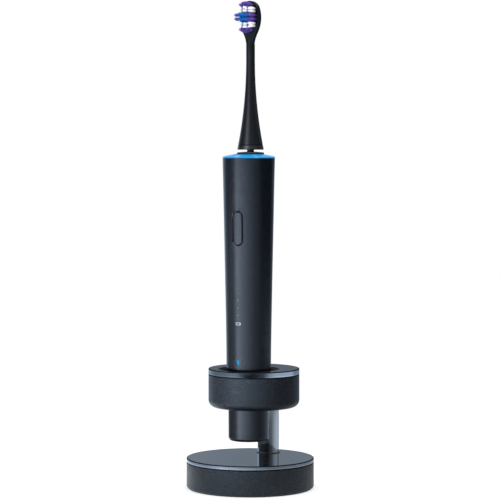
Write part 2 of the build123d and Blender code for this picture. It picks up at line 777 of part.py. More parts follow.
with BuildPart() as handle_shell:
    with BuildSketch(HANDLE_XZ):
        with BuildLine():
            Polyline(
                (GRIP_R - HANDLE_WALL_T, STRAIGHT_Z),
                (GRIP_R - HANDLE_WALL_T, CAVITY_Z),
                (SKIRT_BORE_R, CAVITY_Z),
                (SKIRT_BORE_R, CAP_SEAM_Z),
                (SKIRT_BOTTOM_R, CAP_SEAM_Z),
                (SKIRT_TOP_R, SHOULDER_Z),
                (GRIP_R, SHOULDER_Z),
                (GRIP_R, STRAIGHT_Z),
            )
            grip_curve()
            Line((HANDLE_TOP_R, HANDLE_TOP_Z), (HANDLE_TOP_R - HANDLE_WALL_T, HANDLE_TOP_Z))
            grip_curve(HANDLE_WALL_T)
        make_face()
    revolve(axis=HANDLE_AXIS)
    opening = pill(
        front_plane(HANDLE_Y, BUTTON_Z), BUTTON_H + 2 * BUTTON_GAP, BUTTON_W + 2 * BUTTON_GAP
    )
    cut(opening, 2 * HANDLE_TOP_R)
    chamfer(handle_shell.edges(Select.LAST).sort_by(Axis.Y)[:4], length=BUTTON_OPENING_BEVEL)
    status_hole = pill(front_plane(HANDLE_Y, STATUS_Z), STATUS_H + 2 * LENS_GAP, STATUS_W + 2 * LENS_GAP)
    cut(status_hole, HANDLE_TOP_R)
    cut(window(front_plane(HANDLE_Y, CHARGE_Z), LENS_GAP), HANDLE_TOP_R)
    cut(ring(front_plane(HANDLE_Y), MODE_R + LENS_GAP, centres=MODE_POINTS), HANDLE_TOP_R)

with BuildPart() as bottom_cap:
    revolve(
        half_section(
            HANDLE_XZ,
            (0, CAP_BOTTOM_Z),
            (SKIRT_BOTTOM_R, CAP_BOTTOM_Z),
            (SKIRT_BOTTOM_R, CAP_SEAM_Z - LOOSE_GAP),
            (CAP_PLUG_R, CAP_SEAM_Z - LOOSE_GAP),
            (CAP_PLUG_R, CAP_GROOVE_Z),
            (CAP_PLUG_R - CAP_GROOVE_D, CAP_GROOVE_Z),
            (CAP_PLUG_R - CAP_GROOVE_D, CAP_GROOVE_Z + CAP_GROOVE_H),
            (CAP_PLUG_R, CAP_GROOVE_Z + CAP_GROOVE_H),
            (CAP_PLUG_R, CAP_PLUG_Z),
            (CAP_PLUG_R - CAP_PLUG_T, CAP_PLUG_Z),
            (CAP_PLUG_R - CAP_PLUG_T, CAP_SEAM_Z),
            (0, CAP_SEAM_Z),
        ),
        axis=HANDLE_AXIS,
    )
    fillet(edges_at(bottom_cap, CAP_BOTTOM_Z), radius=CAP_ROUND)
    cut(block(HANDLE_XY.offset(CAP_BOTTOM_Z), CAP_SLOT_L, CAP_SLOT_W), CAP_SLOT_D)

with BuildPart() as cap_seal:
    with BuildSketch(HANDLE_XZ):
        with Locations((CAP_PLUG_R - CAP_GROOVE_D / 2, CAP_GROOVE_Z + CAP_GROOVE_H / 2)):
            Circle(CAP_SEAL_R)
    revolve(axis=HANDLE_AXIS)

with BuildPart() as light_ring:
    with BuildSketch(HANDLE_XZ):
        with BuildLine():
            Polyline(
                (0, RING_DOME_Z),
                (0, HANDLE_TOP_Z),
                (HANDLE_TOP_R, HANDLE_TOP_Z),
                (HANDLE_TOP_R, RING_EDGE_Z),
            )
            ThreePointArc(
                (HANDLE_TOP_R, RING_EDGE_Z), (RING_DOME_MID_R, RING_DOME_MID_Z), (0, RING_DOME_Z)
            )
        make_face()
    revolve(axis=HANDLE_AXIS)
    fillet(edges_at(light_ring, RING_EDGE_Z), radius=RING_ROUND)
    extrude(
        ring(HANDLE_XY.offset(RING_SPIGOT_Z), RING_SPIGOT_R, RING_SPIGOT_INNER_R),
        amount=HANDLE_TOP_Z - RING_SPIGOT_Z,
    )
    cut(ring(SHAFT_XY.offset(HANDLE_TOP_Z), RING_HOLE_R), HANDLE_TOP_R)
    cut(ring(SHAFT_XY.offset(SEAL_SEAT_Z), SEAL_R + FIT_GAP), HANDLE_TOP_R)

with BuildPart() as shaft_seal:
    revolve(
        half_section(
            SHAFT_XZ,
            (SHAFT_R + LOOSE_GAP, SEAL_STEM_Z),
            (SEAL_STEM_R, SEAL_STEM_Z),
            (SEAL_STEM_R, SEAL_SEAT_Z),
            (SEAL_R, SEAL_SEAT_Z),
            (SEAL_R, SEAL_EDGE_Z),
            (SEAL_LIP_R, SEAL_CROWN_Z),
            (SHAFT_R + LOOSE_GAP, SEAL_CROWN_Z),
        ),
        axis=SHAFT_AXIS,
    )
    fillet(edges_at(shaft_seal, SEAL_EDGE_Z), radius=SEAL_ROUND)

# Indicator windows

with BuildPart() as status_lens:
    extrude(pill(front_plane(LENS_BACK_Y, STATUS_Z), STATUS_H, STATUS_W), amount=2 * HANDLE_WALL_T)
    revolve(handle_body(), axis=HANDLE_AXIS, mode=Mode.INTERSECT)

with BuildPart() as charge_lens:
    extrude(window(front_plane(LENS_BACK_Y, CHARGE_Z)), amount=2 * HANDLE_WALL_T)
    revolve(handle_body(), axis=HANDLE_AXIS, mode=Mode.INTERSECT)

with BuildPart() as mode_lenses:
    extrude(ring(front_plane(LENS_BACK_Y), MODE_R, centres=MODE_POINTS), amount=2 * HANDLE_WALL_T)
    revolve(handle_body(), axis=HANDLE_AXIS, mode=Mode.INTERSECT)

# Inside the handle

with BuildPart() as chassis:
    with BuildSketch(SHAFT_XY.offset(FRAME_BOTTOM_Z)):
        Circle(FRAME_R)
        with Locations((0, FRAME_FRONT_Y - SHAFT_Y)):
            Rectangle(2 * FRAME_R, FRAME_R, align=(Align.CENTER, Align.MAX), mode=Mode.SUBTRACT)
    extrude(amount=FRAME_L)
    rail_plane = Plane((0, CIRCUIT_BACK_Y + RAIL_DEPTH / 2, FRAME_BOTTOM_Z))
    extrude(block(rail_plane, RAIL_T, RAIL_DEPTH, ((-RAIL_X, 0), (RAIL_X, 0))), amount=FRAME_L)
    for low_z, high_z in ((FRAME_BOTTOM_Z, FRAME_DIVIDER_Z), (FRAME_DIVIDER_Z, FRAME_TOP_Z)):
        cut(ring(SHAFT_XY.offset(low_z + BULKHEAD_T), FRAME_BORE_R), high_z - low_z - BULKHEAD_T)
    cut(ring(SHAFT_XY.offset(FRAME_TOP_Z), BUSH_R + LOOSE_GAP), BULKHEAD_T)

with BuildPart() as battery_cell:
    extrude(ring(SHAFT_XY.offset(CELL_Z), CELL_R), amount=CELL_L)
    fillet(battery_cell.edges(), radius=CELL_ROUND)
    extrude(ring(SHAFT_XY.offset(CELL_Z + CELL_L), CELL_TIP_R), amount=CELL_TIP_L)

with BuildPart() as circuit_board:
    circuit_plane = front_plane(CIRCUIT_BACK_Y, CIRCUIT_MID_Z)
    extrude(block(circuit_plane, CIRCUIT_W, CIRCUIT_TOP_Z - CIRCUIT_BOTTOM_Z), amount=CIRCUIT_T)

with BuildPart() as board_lamps:
    extrude(block(front_plane(CIRCUIT_FRONT_Y), LAMP_W, LAMP_W, LAMP_POINTS), amount=LAMP_T)

with BuildPart() as tactile_switch:
    extrude(block(front_plane(CIRCUIT_FRONT_Y, BUTTON_Z), SWITCH_W, SWITCH_W), amount=SWITCH_T)
    cut(
        ring(front_plane(SWITCH_FRONT_Y + 2 * PLUNGER_OUT, BUTTON_Z), PLUNGER_R + LOOSE_GAP),
        2 * PLUNGER_OUT,
    )

with BuildPart() as pickup_core:
    pickup_top_z = PICKUP_Z + PICKUP_H
    extrude(ring(HANDLE_XY.offset(PICKUP_Z - PICKUP_FLANGE_T), PICKUP_R), amount=PICKUP_FLANGE_T)
    extrude(ring(HANDLE_XY.offset(PICKUP_Z), PICKUP_CORE_R), amount=PICKUP_H)
    extrude(ring(HANDLE_XY.offset(pickup_top_z), PICKUP_STEM_R), amount=FRAME_BOTTOM_Z - pickup_top_z)

with BuildPart() as pickup_coil:
    extrude(ring(HANDLE_XY.offset(PICKUP_Z), PICKUP_R, PICKUP_CORE_R + FIT_GAP), amount=PICKUP_H)

with BuildPart() as ring_board:
    extrude(ring(HANDLE_XY.offset(RING_BOARD_Z), RING_BOARD_R), amount=RING_BOARD_T)
    cut(ring(SHAFT_XY.offset(RING_BOARD_Z), RING_BOARD_HOLE_R), RING_BOARD_T)

with BuildPart() as ring_lamps:
    with BuildSketch(HANDLE_XY.offset(RING_BOARD_Z + RING_BOARD_T)):
        with PolarLocations(RING_LAMP_CIRCLE_R, RING_LAMP_COUNT):
            Rectangle(LAMP_W, LAMP_W)
    extrude(amount=LAMP_T)

# Motor

with BuildPart() as motor_can:
    extrude(ring(SHAFT_XY.offset(MOTOR_Z), MOTOR_R, MOTOR_R - MOTOR_WALL_T), amount=MOTOR_L)
    extrude(ring(SHAFT_XY.offset(MOTOR_Z), MOTOR_R, BUSH_R + FIT_GAP), amount=MOTOR_WALL_T)

with BuildPart() as motor_cap:
    extrude(ring(SHAFT_XY.offset(MOTOR_TOP_Z), MOTOR_R, BUSH_R + FIT_GAP), amount=MOTOR_CAP_T)

with BuildPart() as upper_bush:
    extrude(ring(SHAFT_XY.offset(UPPER_BUSH_Z), BUSH_R, SHAFT_R + RUNNING_CLEARANCE), amount=BUSH_L)

with BuildPart() as lower_bush:
    extrude(ring(SHAFT_XY.offset(LOWER_BUSH_Z), BUSH_R, SHAFT_R + RUNNING_CLEARANCE), amount=BUSH_L)

with BuildPart() as stator_core:
    extrude(ring(SHAFT_XY.offset(STATOR_Z), STATOR_R, STATOR_INNER_R), amount=STATOR_L)

with BuildPart() as stator_windings:
    extrude(ring(SHAFT_XY.offset(WINDING_Z), WINDING_R, WINDING_INNER_R), amount=WINDING_L)
    with Locations((0, SHAFT_Y, WINDING_Z + WINDING_L / 2)):
        Box(4 * WINDING_R, WINDING_SLIT, WINDING_L, mode=Mode.SUBTRACT)
        Box(WINDING_SLIT, 4 * WINDING_R, WINDING_L, mode=Mode.SUBTRACT)

with BuildPart() as drive_shaft:
    extrude(ring(SHAFT_XY.offset(SHAFT_BOTTOM_Z), SHAFT_R), amount=SHAFT_TOP_Z - SHAFT_BOTTOM_Z)
    chamfer(edges_at(drive_shaft, SHAFT_TOP_Z), length=SHAFT_TIP_BEVEL)
    flat_l = SHAFT_TOP_Z - SHAFT_FLAT_Z
    with Locations((0, SHAFT_Y + 2 * SHAFT_R - SHAFT_FLAT_DEPTH, SHAFT_FLAT_Z + flat_l / 2)):
        Box(2 * SHAFT_R, 2 * SHAFT_R, flat_l, mode=Mode.SUBTRACT)

with BuildPart() as rotor_yoke:
    extrude(ring(SHAFT_XY.offset(YOKE_Z), YOKE_R, SHAFT_R), amount=YOKE_L)

with BuildPart() as rotor_magnets:
    extrude(ring(SHAFT_XY.offset(MAGNET_Z), MAGNET_R, YOKE_R), amount=MAGNET_L)
    with Locations((0, SHAFT_Y, MAGNET_Z + MAGNET_L / 2)):
        Box(4 * MAGNET_R, MAGNET_SLIT, MAGNET_L, rotation=(0, 0, 45), mode=Mode.SUBTRACT)
        Box(MAGNET_SLIT, 4 * MAGNET_R, MAGNET_L, rotation=(0, 0, 45), mode=Mode.SUBTRACT)

# Button

with BuildPart() as power_button:
    extrude(pill(front_plane(BUTTON_BACK_Y, BUTTON_Z), BUTTON_H, BUTTON_W), amount=HANDLE_TOP_R)
    revolve(handle_body(BUTTON_INSET), axis=HANDLE_AXIS, mode=Mode.INTERSECT)
    chamfer(power_button.faces().sort_by(Axis.Y)[0].edges(), length=BUTTON_BEVEL)
    flange_plane = front_plane(BUTTON_BACK_Y + BUTTON_FLANGE_T, BUTTON_Z)
    extrude(
        pill(flange_plane, BUTTON_H + 2 * BUTTON_FLANGE_W, BUTTON_W + 2 * BUTTON_FLANGE_W),
        amount=BUTTON_FLANGE_T,
    )

with BuildPart() as switch_plunger:
    extrude(ring(front_plane(SWITCH_FRONT_Y + PLUNGER_OUT, BUTTON_Z), PLUNGER_R), amount=2 * PLUNGER_OUT)

# Brush head

with BuildPart() as stem_ring:
    with BuildSketch(SHAFT_XZ):
        with BuildLine():
            flare_curve(STEM_RING_Z, STEM_RING_TOP_Z)
            Polyline(
                (flare_radius(STEM_RING_TOP_Z), STEM_RING_TOP_Z),
                (STEM_RING_BORE_R, STEM_RING_TOP_Z),
                (STEM_RING_BORE_R, STEM_RING_Z),
                (flare_radius(STEM_RING_Z), STEM_RING_Z),
            )
        make_face()
    revolve(axis=SHAFT_AXIS)
    fillet(edges_at(stem_ring, STEM_RING_Z).sort_by(SortBy.RADIUS)[-1], radius=STEM_RING_ROUND)
    seam_core = ring(
        SHAFT_XY.offset(STEM_RING_TOP_Z), flare_radius(STEM_Z) - STEM_SEAM_DEPTH, STEM_RING_BORE_R
    )
    extrude(seam_core, amount=STEM_SEAM)

with BuildPart() as brush_stem:
    extrude(head_outline(front_plane(SHAFT_Y + HEAD_BACK, HEAD_Z), foot=True), amount=HEAD_FRONT + HEAD_BACK)
    head_back = brush_stem.faces().sort_by(Axis.Y)[-1]
    fillet(head_back.edges().sort_by(Axis.Z)[1:], radius=HEAD_BACK_ROUND)
    head_face = brush_stem.faces().sort_by(Axis.Y)[0]
    fillet(head_face.edges().sort_by(Axis.Z)[1:], radius=HEAD_FRONT_ROUND)
    with BuildSketch(SHAFT_XZ):
        with BuildLine():
            flare_curve(STEM_Z, NECK_Z)
            Line((NECK_R, NECK_Z), (NECK_R, NECK_TOP_Z))
            TangentArc((NECK_R, NECK_TOP_Z), (NECK_TIP_R, NECK_TIP_Z), tangent=(0, 1))
            Polyline(
                (NECK_TIP_R, NECK_TIP_Z), (0, NECK_TIP_Z), (0, STEM_Z), (flare_radius(STEM_Z), STEM_Z)
            )
        make_face()
    revolve(axis=SHAFT_AXIS)
    cut(head_outline(front_plane(FACE_Y + POCKET_DEPTH, HEAD_Z), POCKET_RIM), POCKET_DEPTH)
    revolve(
        half_section(
            SHAFT_XZ,
            (0, STEM_Z),
            (STEM_RING_BORE_R, STEM_Z),
            (INSERT_R + FIT_GAP, STEM_MOUTH_Z),
            (INSERT_R + FIT_GAP, INSERT_TOP_Z),
            (0, INSERT_TOP_Z),
        ),
        axis=SHAFT_AXIS,
        mode=Mode.SUBTRACT,
    )

with BuildPart() as stem_insert:
    extrude(ring(SHAFT_XY.offset(INSERT_Z), INSERT_R), amount=INSERT_TOP_Z - INSERT_Z)
    cut(ring(SHAFT_XY.offset(INSERT_Z), SHAFT_R + RUNNING_CLEARANCE), INSERT_BORE_TOP_Z - INSERT_Z)
    with BuildSketch(SHAFT_XY.offset(INSERT_KEY_Z)):
        Circle(INSERT_KEY_R)
        with Locations((0, SHAFT_R - SHAFT_FLAT_DEPTH + INSERT_KEY_GAP)):
            Rectangle(2 * INSERT_R, 2 * INSERT_R, align=(Align.CENTER, Align.MAX), mode=Mode.SUBTRACT)
    extrude(amount=INSERT_BORE_TOP_Z - INSERT_KEY_Z)

full_width = (-HEAD_A, HEAD_A)
left_part = (-HEAD_A, -SIDE_ZONE)
centre_part = (-SIDE_ZONE, SIDE_ZONE)
right_part = (SIDE_ZONE, HEAD_A)
top_end = (END_ZONE, HEAD_B)
upper_part = (MIDDLE_ZONE, END_ZONE)
middle_part = (-MIDDLE_ZONE, MIDDLE_ZONE)
lower_part = (-END_ZONE, -MIDDLE_ZONE)
bottom_end = (-HEAD_B, -END_ZONE)

top_end_bristles = bristles(full_width, top_end, END_TUFTS, END_LENGTH)
upper_white_bristles = bristles(full_width, upper_part, WHITE_TUFTS, WHITE_LENGTH)
left_side_bristles = bristles(left_part, middle_part, mirrored(SIDE_TUFTS, across=-1), SIDE_LENGTH)
middle_bristles = bristles(centre_part, middle_part, MIDDLE_TUFTS, MIDDLE_LENGTH)
right_side_bristles = bristles(right_part, middle_part, SIDE_TUFTS, SIDE_LENGTH)
lower_white_bristles = bristles(full_width, lower_part, mirrored(WHITE_TUFTS, up=-1), WHITE_LENGTH)
bottom_end_bristles = bristles(full_width, bottom_end, mirrored(END_TUFTS, up=-1), END_LENGTH)

# Every piece by name, grouped by what moves together

STAND = {
    "foot_pad": foot_pad,
    "base_cover": base_cover,
    "base_screws": base_screws,
    "base_wall": base_wall,
    "base_top_plate": base_top_plate,
    "ballast_disc": ballast_disc,
    "charger_board": charger_board,
    "board_screws": board_screws,
    "board_components": board_components,
    "inlet_socket": inlet_socket,
    "inlet_pin": inlet_pin,
    "post": post,
    "post_collar": post_collar,
    "post_nuts": post_nuts,
    "coil_lead": coil_lead,
    "cradle_shell": cradle_shell,
    "cradle_screws": cradle_screws,
    "cradle_top_ring": cradle_top_ring,
    "socket_liner": socket_liner,
    "coil_former": coil_former,
    "primary_coil": primary_coil,
    "ferrite_ring": ferrite_ring,
}
HANDLE = {
    "handle_shell": handle_shell,
    "bottom_cap": bottom_cap,
    "cap_seal": cap_seal,
    "light_ring": light_ring,
    "shaft_seal": shaft_seal,
    "status_lens": status_lens,
    "charge_lens": charge_lens,
    "mode_lenses": mode_lenses,
    "chassis": chassis,
    "battery_cell": battery_cell,
    "circuit_board": circuit_board,
    "board_lamps": board_lamps,
    "tactile_switch": tactile_switch,
    "pickup_core": pickup_core,
    "pickup_coil": pickup_coil,
    "ring_board": ring_board,
    "ring_lamps": ring_lamps,
    "motor_can": motor_can,
    "motor_cap": motor_cap,
    "upper_bush": upper_bush,
    "lower_bush": lower_bush,
    "stator_core": stator_core,
    "stator_windings": stator_windings,
}
BUTTON = {"power_button": power_button, "switch_plunger": switch_plunger}
DRIVE = {"drive_shaft": drive_shaft, "rotor_yoke": rotor_yoke, "rotor_magnets": rotor_magnets}
BRUSH_HEAD = {
    "stem_ring": stem_ring,
    "brush_stem": brush_stem,
    "stem_insert": stem_insert,
    "top_end_bristles": top_end_bristles,
    "upper_white_bristles": upper_white_bristles,
    "left_side_bristles": left_side_bristles,
    "middle_bristles": middle_bristles,
    "right_side_bristles": right_side_bristles,
    "lower_white_bristles": lower_white_bristles,
    "bottom_end_bristles": bottom_end_bristles,
}

for name, piece in {**STAND, **HANDLE, **BUTTON, **DRIVE, **BRUSH_HEAD}.items():
    piece.part.label = name
    export_step(piece.part, f"parts/{name}.step")
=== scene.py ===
"""Finishes, bristles, floor, light and camera of the electric toothbrush on its charging stand.

Metres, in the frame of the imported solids: +Z is up and the brush faces -Y.
"""

import json
import math
import random
from collections import namedtuple

import bpy
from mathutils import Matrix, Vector


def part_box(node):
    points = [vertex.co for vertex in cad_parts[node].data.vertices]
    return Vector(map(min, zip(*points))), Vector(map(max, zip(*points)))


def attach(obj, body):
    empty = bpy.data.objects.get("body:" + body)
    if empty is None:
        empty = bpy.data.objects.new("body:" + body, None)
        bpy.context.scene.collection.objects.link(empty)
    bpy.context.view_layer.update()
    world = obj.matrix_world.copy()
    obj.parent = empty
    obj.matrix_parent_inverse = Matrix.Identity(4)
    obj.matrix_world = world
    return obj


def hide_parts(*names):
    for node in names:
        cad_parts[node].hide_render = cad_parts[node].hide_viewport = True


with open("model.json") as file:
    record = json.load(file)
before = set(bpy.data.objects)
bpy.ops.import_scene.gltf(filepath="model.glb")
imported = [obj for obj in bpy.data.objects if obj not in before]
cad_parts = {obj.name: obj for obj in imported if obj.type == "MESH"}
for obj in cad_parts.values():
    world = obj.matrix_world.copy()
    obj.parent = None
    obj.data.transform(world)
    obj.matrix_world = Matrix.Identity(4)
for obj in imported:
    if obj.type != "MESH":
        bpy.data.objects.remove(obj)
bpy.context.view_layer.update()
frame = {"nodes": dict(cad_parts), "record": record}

MM = 0.001
nodes = frame["nodes"]

# The photograph's view: where the camera stands round the brush, and what its frame takes in
CAMERA_AZIMUTH = math.radians(28.0)
CAMERA_DISTANCE = 1.197
CAMERA_HEIGHT = 0.1928
AIM_HEIGHT = 0.1338
AIM_LEFT = 0.00011
FRAME_WIDTH_AT_AIM = 0.280
SENSOR_WIDTH_MM = 36.0
NEAREST_SEEN = 0.01
TO_CAMERA = Vector((math.sin(CAMERA_AZIMUTH), -math.cos(CAMERA_AZIMUTH), 0.0))
TO_LEFT = Vector((-math.cos(CAMERA_AZIMUTH), -math.sin(CAMERA_AZIMUTH), 0.0))

# The white table, which fades out round the brush
TABLE_HALF_WIDTH = 0.25
TABLE_FADE = (0.12, 0.23)
TABLE_DROP = 0.05 * MM
TABLE_COLOUR = (0.25, 0.243, 0.233, 1)
TABLE_GLOW = 0.56
# How it shows in glossy parts: its brightness, where it fades out, and where it dims towards the right
TABLE_MIRRORED = 0.68
TABLE_MIRRORED_FADE = (0.125, 0.155)
TABLE_MIRRORED_LEFT = (-0.075, 0.05)
TABLE_MIRRORED_TINT = (0.84, 0.94, 1.06, 1)

# Light round the brush, as (degrees to the left of the camera, brightness).
# Heights of light are the upward part of its direction, from -1 to 1
LIGHT_ROUND = (
    (-180, 0.20),
    (-160, 0.34),
    (-130, 0.08),
    (-108, 0.01),
    (-64, 0.01),
    (-25, 0.20),
    (0, 0.36),
    (30, 0.80),
    (58, 1.3),
    (68, 0.12),
    (112, 0.10),
    (130, 0.40),
    (155, 0.90),
    (168, 0.40),
    (180, 0.20),
)
# Lower down it is brighter and softer
LOWER_HEIGHTS = (-0.086, -0.044)
LOWER_ROUND = (
    (-180, 0.20),
    (-160, 0.34),
    (-130, 0.12),
    (-108, 0.02),
    (-64, 0.03),
    (-25, 0.92),
    (0, 1.90),
    (30, 3.5),
    (58, 5.6),
    (80, 1.3),
    (112, 0.50),
    (130, 0.45),
    (155, 0.90),
    (168, 0.40),
    (180, 0.20),
)
# The parts of it that show in the band of the cradle and in the post
BAND_SOFT = 0.002
CRADLE_BAND_HEIGHTS = (-0.1145, -0.1030)
CRADLE_BAND_ROUND = (
    (-180, 0.36),
    (-125, 0.40),
    (-110, 0.74),
    (-58, 0.72),
    (-41, 0.48),
    (-25, 0.09),
    (-2, 0.00),
    (20, 0.01),
    (36, 0.15),
    (48, 0.29),
    (90, 0.26),
    (115, 0.24),
    (155, 0.55),
    (180, 0.36),
)
POST_HEIGHTS = (-0.152, -0.1205)
POST_ROUND = (
    (-180, 0.25),
    (-115, 1.00),
    (-66, 0.66),
    (-40, 0.22),
    (-8, 0.07),
    (4, 0.015),
    (40, 0.02),
    (66, 0.06),
    (140, 0.12),
    (180, 0.25),
)
# The part that the lids and the post show of each other
BETWEEN_HEIGHTS = (0.10, 0.215)
BETWEEN_SOFT = 0.02
# Deep down, where it is brighter by this share
DEEP_HEIGHTS = (-0.205, -0.165)
DEEP_LIFT = 1.3
# The part that the flare of the stem shows, as a narrow light on the left
STEM_HEIGHTS = (0.195, 0.46)
STEM_SOFT = 0.03
STEM_ROUND = (
    (-180, 0.20),
    (-120, 0.02),
    (-30, 0.06),
    (4, 0.16),
    (22, 1.8),
    (36, 6.0),
    (50, 3.6),
    (66, 0.30),
    (112, 0.10),
    (180, 0.20),
)
# Behind the brush, as the part of a direction towards the camera, and where the light there doubles
BEHIND = (-0.60, -0.35)
BACK_LIFT_HEIGHTS = (0.095, 0.14)
# Where the light round the brush fades out upwards, and the light overhead comes in
FADE_HEIGHTS = (0.26, 0.50)
OVERHEAD_HEIGHTS = (0.32, 0.70)
OVERHEAD_LIGHT = 3.4
LOW_TINT = (0.86, 0.955, 1.09, 1)
BACK_TINT = (0.73, 0.90, 1.10, 1)
OVERHEAD_TINT = (0.97, 1.0, 1.03, 1)
OVERHEAD_TINT_HEIGHTS = (0.20, 0.45)

# Where things are, read from the solids
HEAD_LOW, HEAD_HIGH = (Vector(corner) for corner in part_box("middle_bristles"))
HEAD_CENTRE = (HEAD_LOW + HEAD_HIGH) / 2
POCKET_DEPTH = 0.8 * MM
FACE_Y = HEAD_HIGH.y - POCKET_DEPTH
CHARGE_LOW, CHARGE_HIGH = (Vector(corner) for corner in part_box("charge_lens"))
CHARGE_CENTRE = (CHARGE_LOW + CHARGE_HIGH) / 2
RING_LOW, RING_HIGH = (Vector(corner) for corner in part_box("light_ring"))
RING_FOOT_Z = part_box("handle_shell")[1][2]
HANDLE_FOOT_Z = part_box("bottom_cap")[0][2]
# Above these heights the neck and head are duller black: painted shade
NECK_SHADE_HEIGHTS = (HEAD_LOW.z - 22 * MM, HEAD_LOW.z - 7 * MM)
STEM_RING_TOP_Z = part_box("stem_ring")[1][2]
STEM_SEAM_HEIGHTS = (STEM_RING_TOP_Z - 0.51 * MM, STEM_RING_TOP_Z - 0.45 * MM)

# Foot of the handle: where its dull underside ends, above its lowest point
FOOT_DULL = (0.05 * MM, 0.15 * MM)

# Light ring: black inside a radius, lit above its foot, with lamps under it
RING_BLACK_R = 9.0 * MM
RING_BLACK_SOFT = 0.3 * MM
RING_LIT = (0.10 * MM, 0.35 * MM)
RING_LAMPS = 8
RING_LAMP_SHARPNESS = 8

# Lids: how far the black comes down, how wide their dull edge of painted shade is, and the seam and the lip
# of painted highlight at the band's foot
BASE_BAND_HEIGHT = 2.4 * MM
CRADLE_BAND_HEIGHT = 3.3 * MM
LID_BLACK = (0.62 * MM, 0.52 * MM)
LID_EDGE_SHADE = (0.50 * MM, 0.40 * MM)
BAND_SEAM = (0.18 * MM, 0.30 * MM)
BAND_LIP_HIGHLIGHT = (0.75 * MM, 0.95 * MM)
LIP_HIGHLIGHT_GAIN = 1.35

# Battery mark: a rounded outline with a small cap on its right
MARK_HALF_WIDTH = 1.00 * MM
MARK_HALF_HEIGHT = 0.38 * MM
MARK_CORNER = 0.23 * MM
MARK_LINE = 0.085 * MM
MARK_CAP_X = 1.42 * MM
MARK_CAP_HALF_WIDTH = 0.09 * MM
MARK_CAP_HALF_HEIGHT = 0.28 * MM
MARK_CAP_SOFT = 0.05 * MM

# Coils: half the way from one turn of wire to the next
WIRE_HALF_PITCH = 0.14 * MM

# Bristles: lengths above the face of the head, and a painted glow that lightens the nylon
END_LENGTH = 6.2 * MM
WHITE_LENGTH = 5.6 * MM
SIDE_LENGTH = 8.6 * MM
MIDDLE_LENGTH = 8.4 * MM
CHANNEL_LENGTH = 5.5 * MM
NYLON_PAINTED_GLOW = 0.16

# Dull parts, real black and painted shade alike, are plain black, and dark parts shine slightly blue
DULL_BLACK = (0.004, 0.006, 0.007, 1)
NAVY_SHEEN = (0.84, 0.90, 1.0, 1)
GRAIN_SHEEN = (0.76, 0.87, 1.0, 1)
BRUSH_SHEEN = (0.95, 0.97, 1.0, 1)


class Value:
    """A number, colour or vector in a finish. Arithmetic on numbers adds the maths to the finish."""

    def __init__(self, sheet, socket):
        self.sheet = sheet
        self.socket = socket

    def __add__(self, other):
        return self.sheet.maths("ADD", self, other)

    def __radd__(self, other):
        return self.sheet.maths("ADD", other, self)

    def __sub__(self, other):
        return self.sheet.maths("SUBTRACT", self, other)

    def __rsub__(self, other):
        return self.sheet.maths("SUBTRACT", other, self)

    def __mul__(self, other):
        return self.sheet.maths("MULTIPLY", self, other)

    def __rmul__(self, other):
        return self.sheet.maths("MULTIPLY", other, self)

    def __truediv__(self, other):
        return self.sheet.maths("DIVIDE", self, other)

    def __pow__(self, other):
        return self.sheet.maths("POWER", self, other)

    def __abs__(self):
        return self.sheet.maths("ABSOLUTE", self)


class Sheet:
    """The nodes of one finish, or of the light round the brush."""

    def __init__(self, tree):
        self.tree = tree
        tree.nodes.clear()

    def node(self, kind, settings=None, sockets=None, out=0):
        """One node: its settings first, then the values or links of its sockets."""
        made = self.tree.nodes.new("ShaderNode" + kind)
        for key, value in (settings or {}).items():
            if key == "stops":
                self.set_stops(made.color_ramp, value)
            else:
                setattr(made, key, value)
        for key, value in (sockets or {}).items():
            if isinstance(value, Value):
                self.tree.links.new(value.socket, made.inputs[key])
            else:
                made.inputs[key].default_value = value
        return Value(self, made.outputs[out]) if made.outputs else None

    @staticmethod
    def set_stops(ramp, stops):
        while len(ramp.elements) < len(stops):
            ramp.elements.new(1.0)
        for element, (position, colour) in zip(ramp.elements, stops):
            element.position = position
            element.color = colour

    def maths(self, operation, *values):
        return self.node("Math", {"operation": operation}, dict(enumerate(values)))

    def where(self):
        """The point on the piece, in the frame of the solids."""
        return self.node("TexCoord", out="Object")

    def axes(self):
        """The point's three coordinates."""
        split = self.node("SeparateXYZ", sockets={0: self.where()})
        return [Value(self, socket) for socket in split.socket.node.outputs]

    def noise(self, size, detail=2.0, stretch=(1, 1, 1)):
        """Soft noise from 0 to 1, in features of the size, drawn out by the stretch."""
        place = self.node("VectorMath", {"operation": "DIVIDE"}, {0: self.where(), 1: stretch}, "Vector")
        sockets = {"Vector": place, "Scale": 1 / size, "Detail": detail}
        return self.node("TexNoise", sockets=sockets, out="Fac")

    def cells(self, size, feature="F1", out="Distance"):
        """Rounded cells of the size."""
        sockets = {"Vector": self.where(), "Scale": 1 / size}
        return self.node("TexVoronoi", {"feature": feature}, sockets, out)

    def rise(self, value, low, high):
        """Smooth step from 0 at low to 1 at high."""
        sockets = {"Value": value, "From Min": low, "From Max": high}
        return self.node("MapRange", {"interpolation_type": "SMOOTHSTEP"}, sockets, "Result")

    def mix(self, factor, first, second):
        """Colours mixed by the factor."""
        return self.node("Mix", {"data_type": "RGBA"}, {0: factor, 6: first, 7: second}, 2)

    def bump(self, height, depth, strength=1.0):
        """Relief of the depth, in metres, from a height of 0 to 1."""
        sockets = {"Height": height, "Distance": depth, "Strength": strength}
        return self.node("Bump", sockets=sockets, out="Normal")

    def tint(self, colour, factor, spread):
        """The colour, lighter and darker by the spread as the factor goes from 0 to 1."""
        darker = [channel * (1 - spread) for channel in colour] + [1.0]
        lighter = [channel * (1 + spread) for channel in colour] + [1.0]
        return self.mix(factor, darker, lighter)


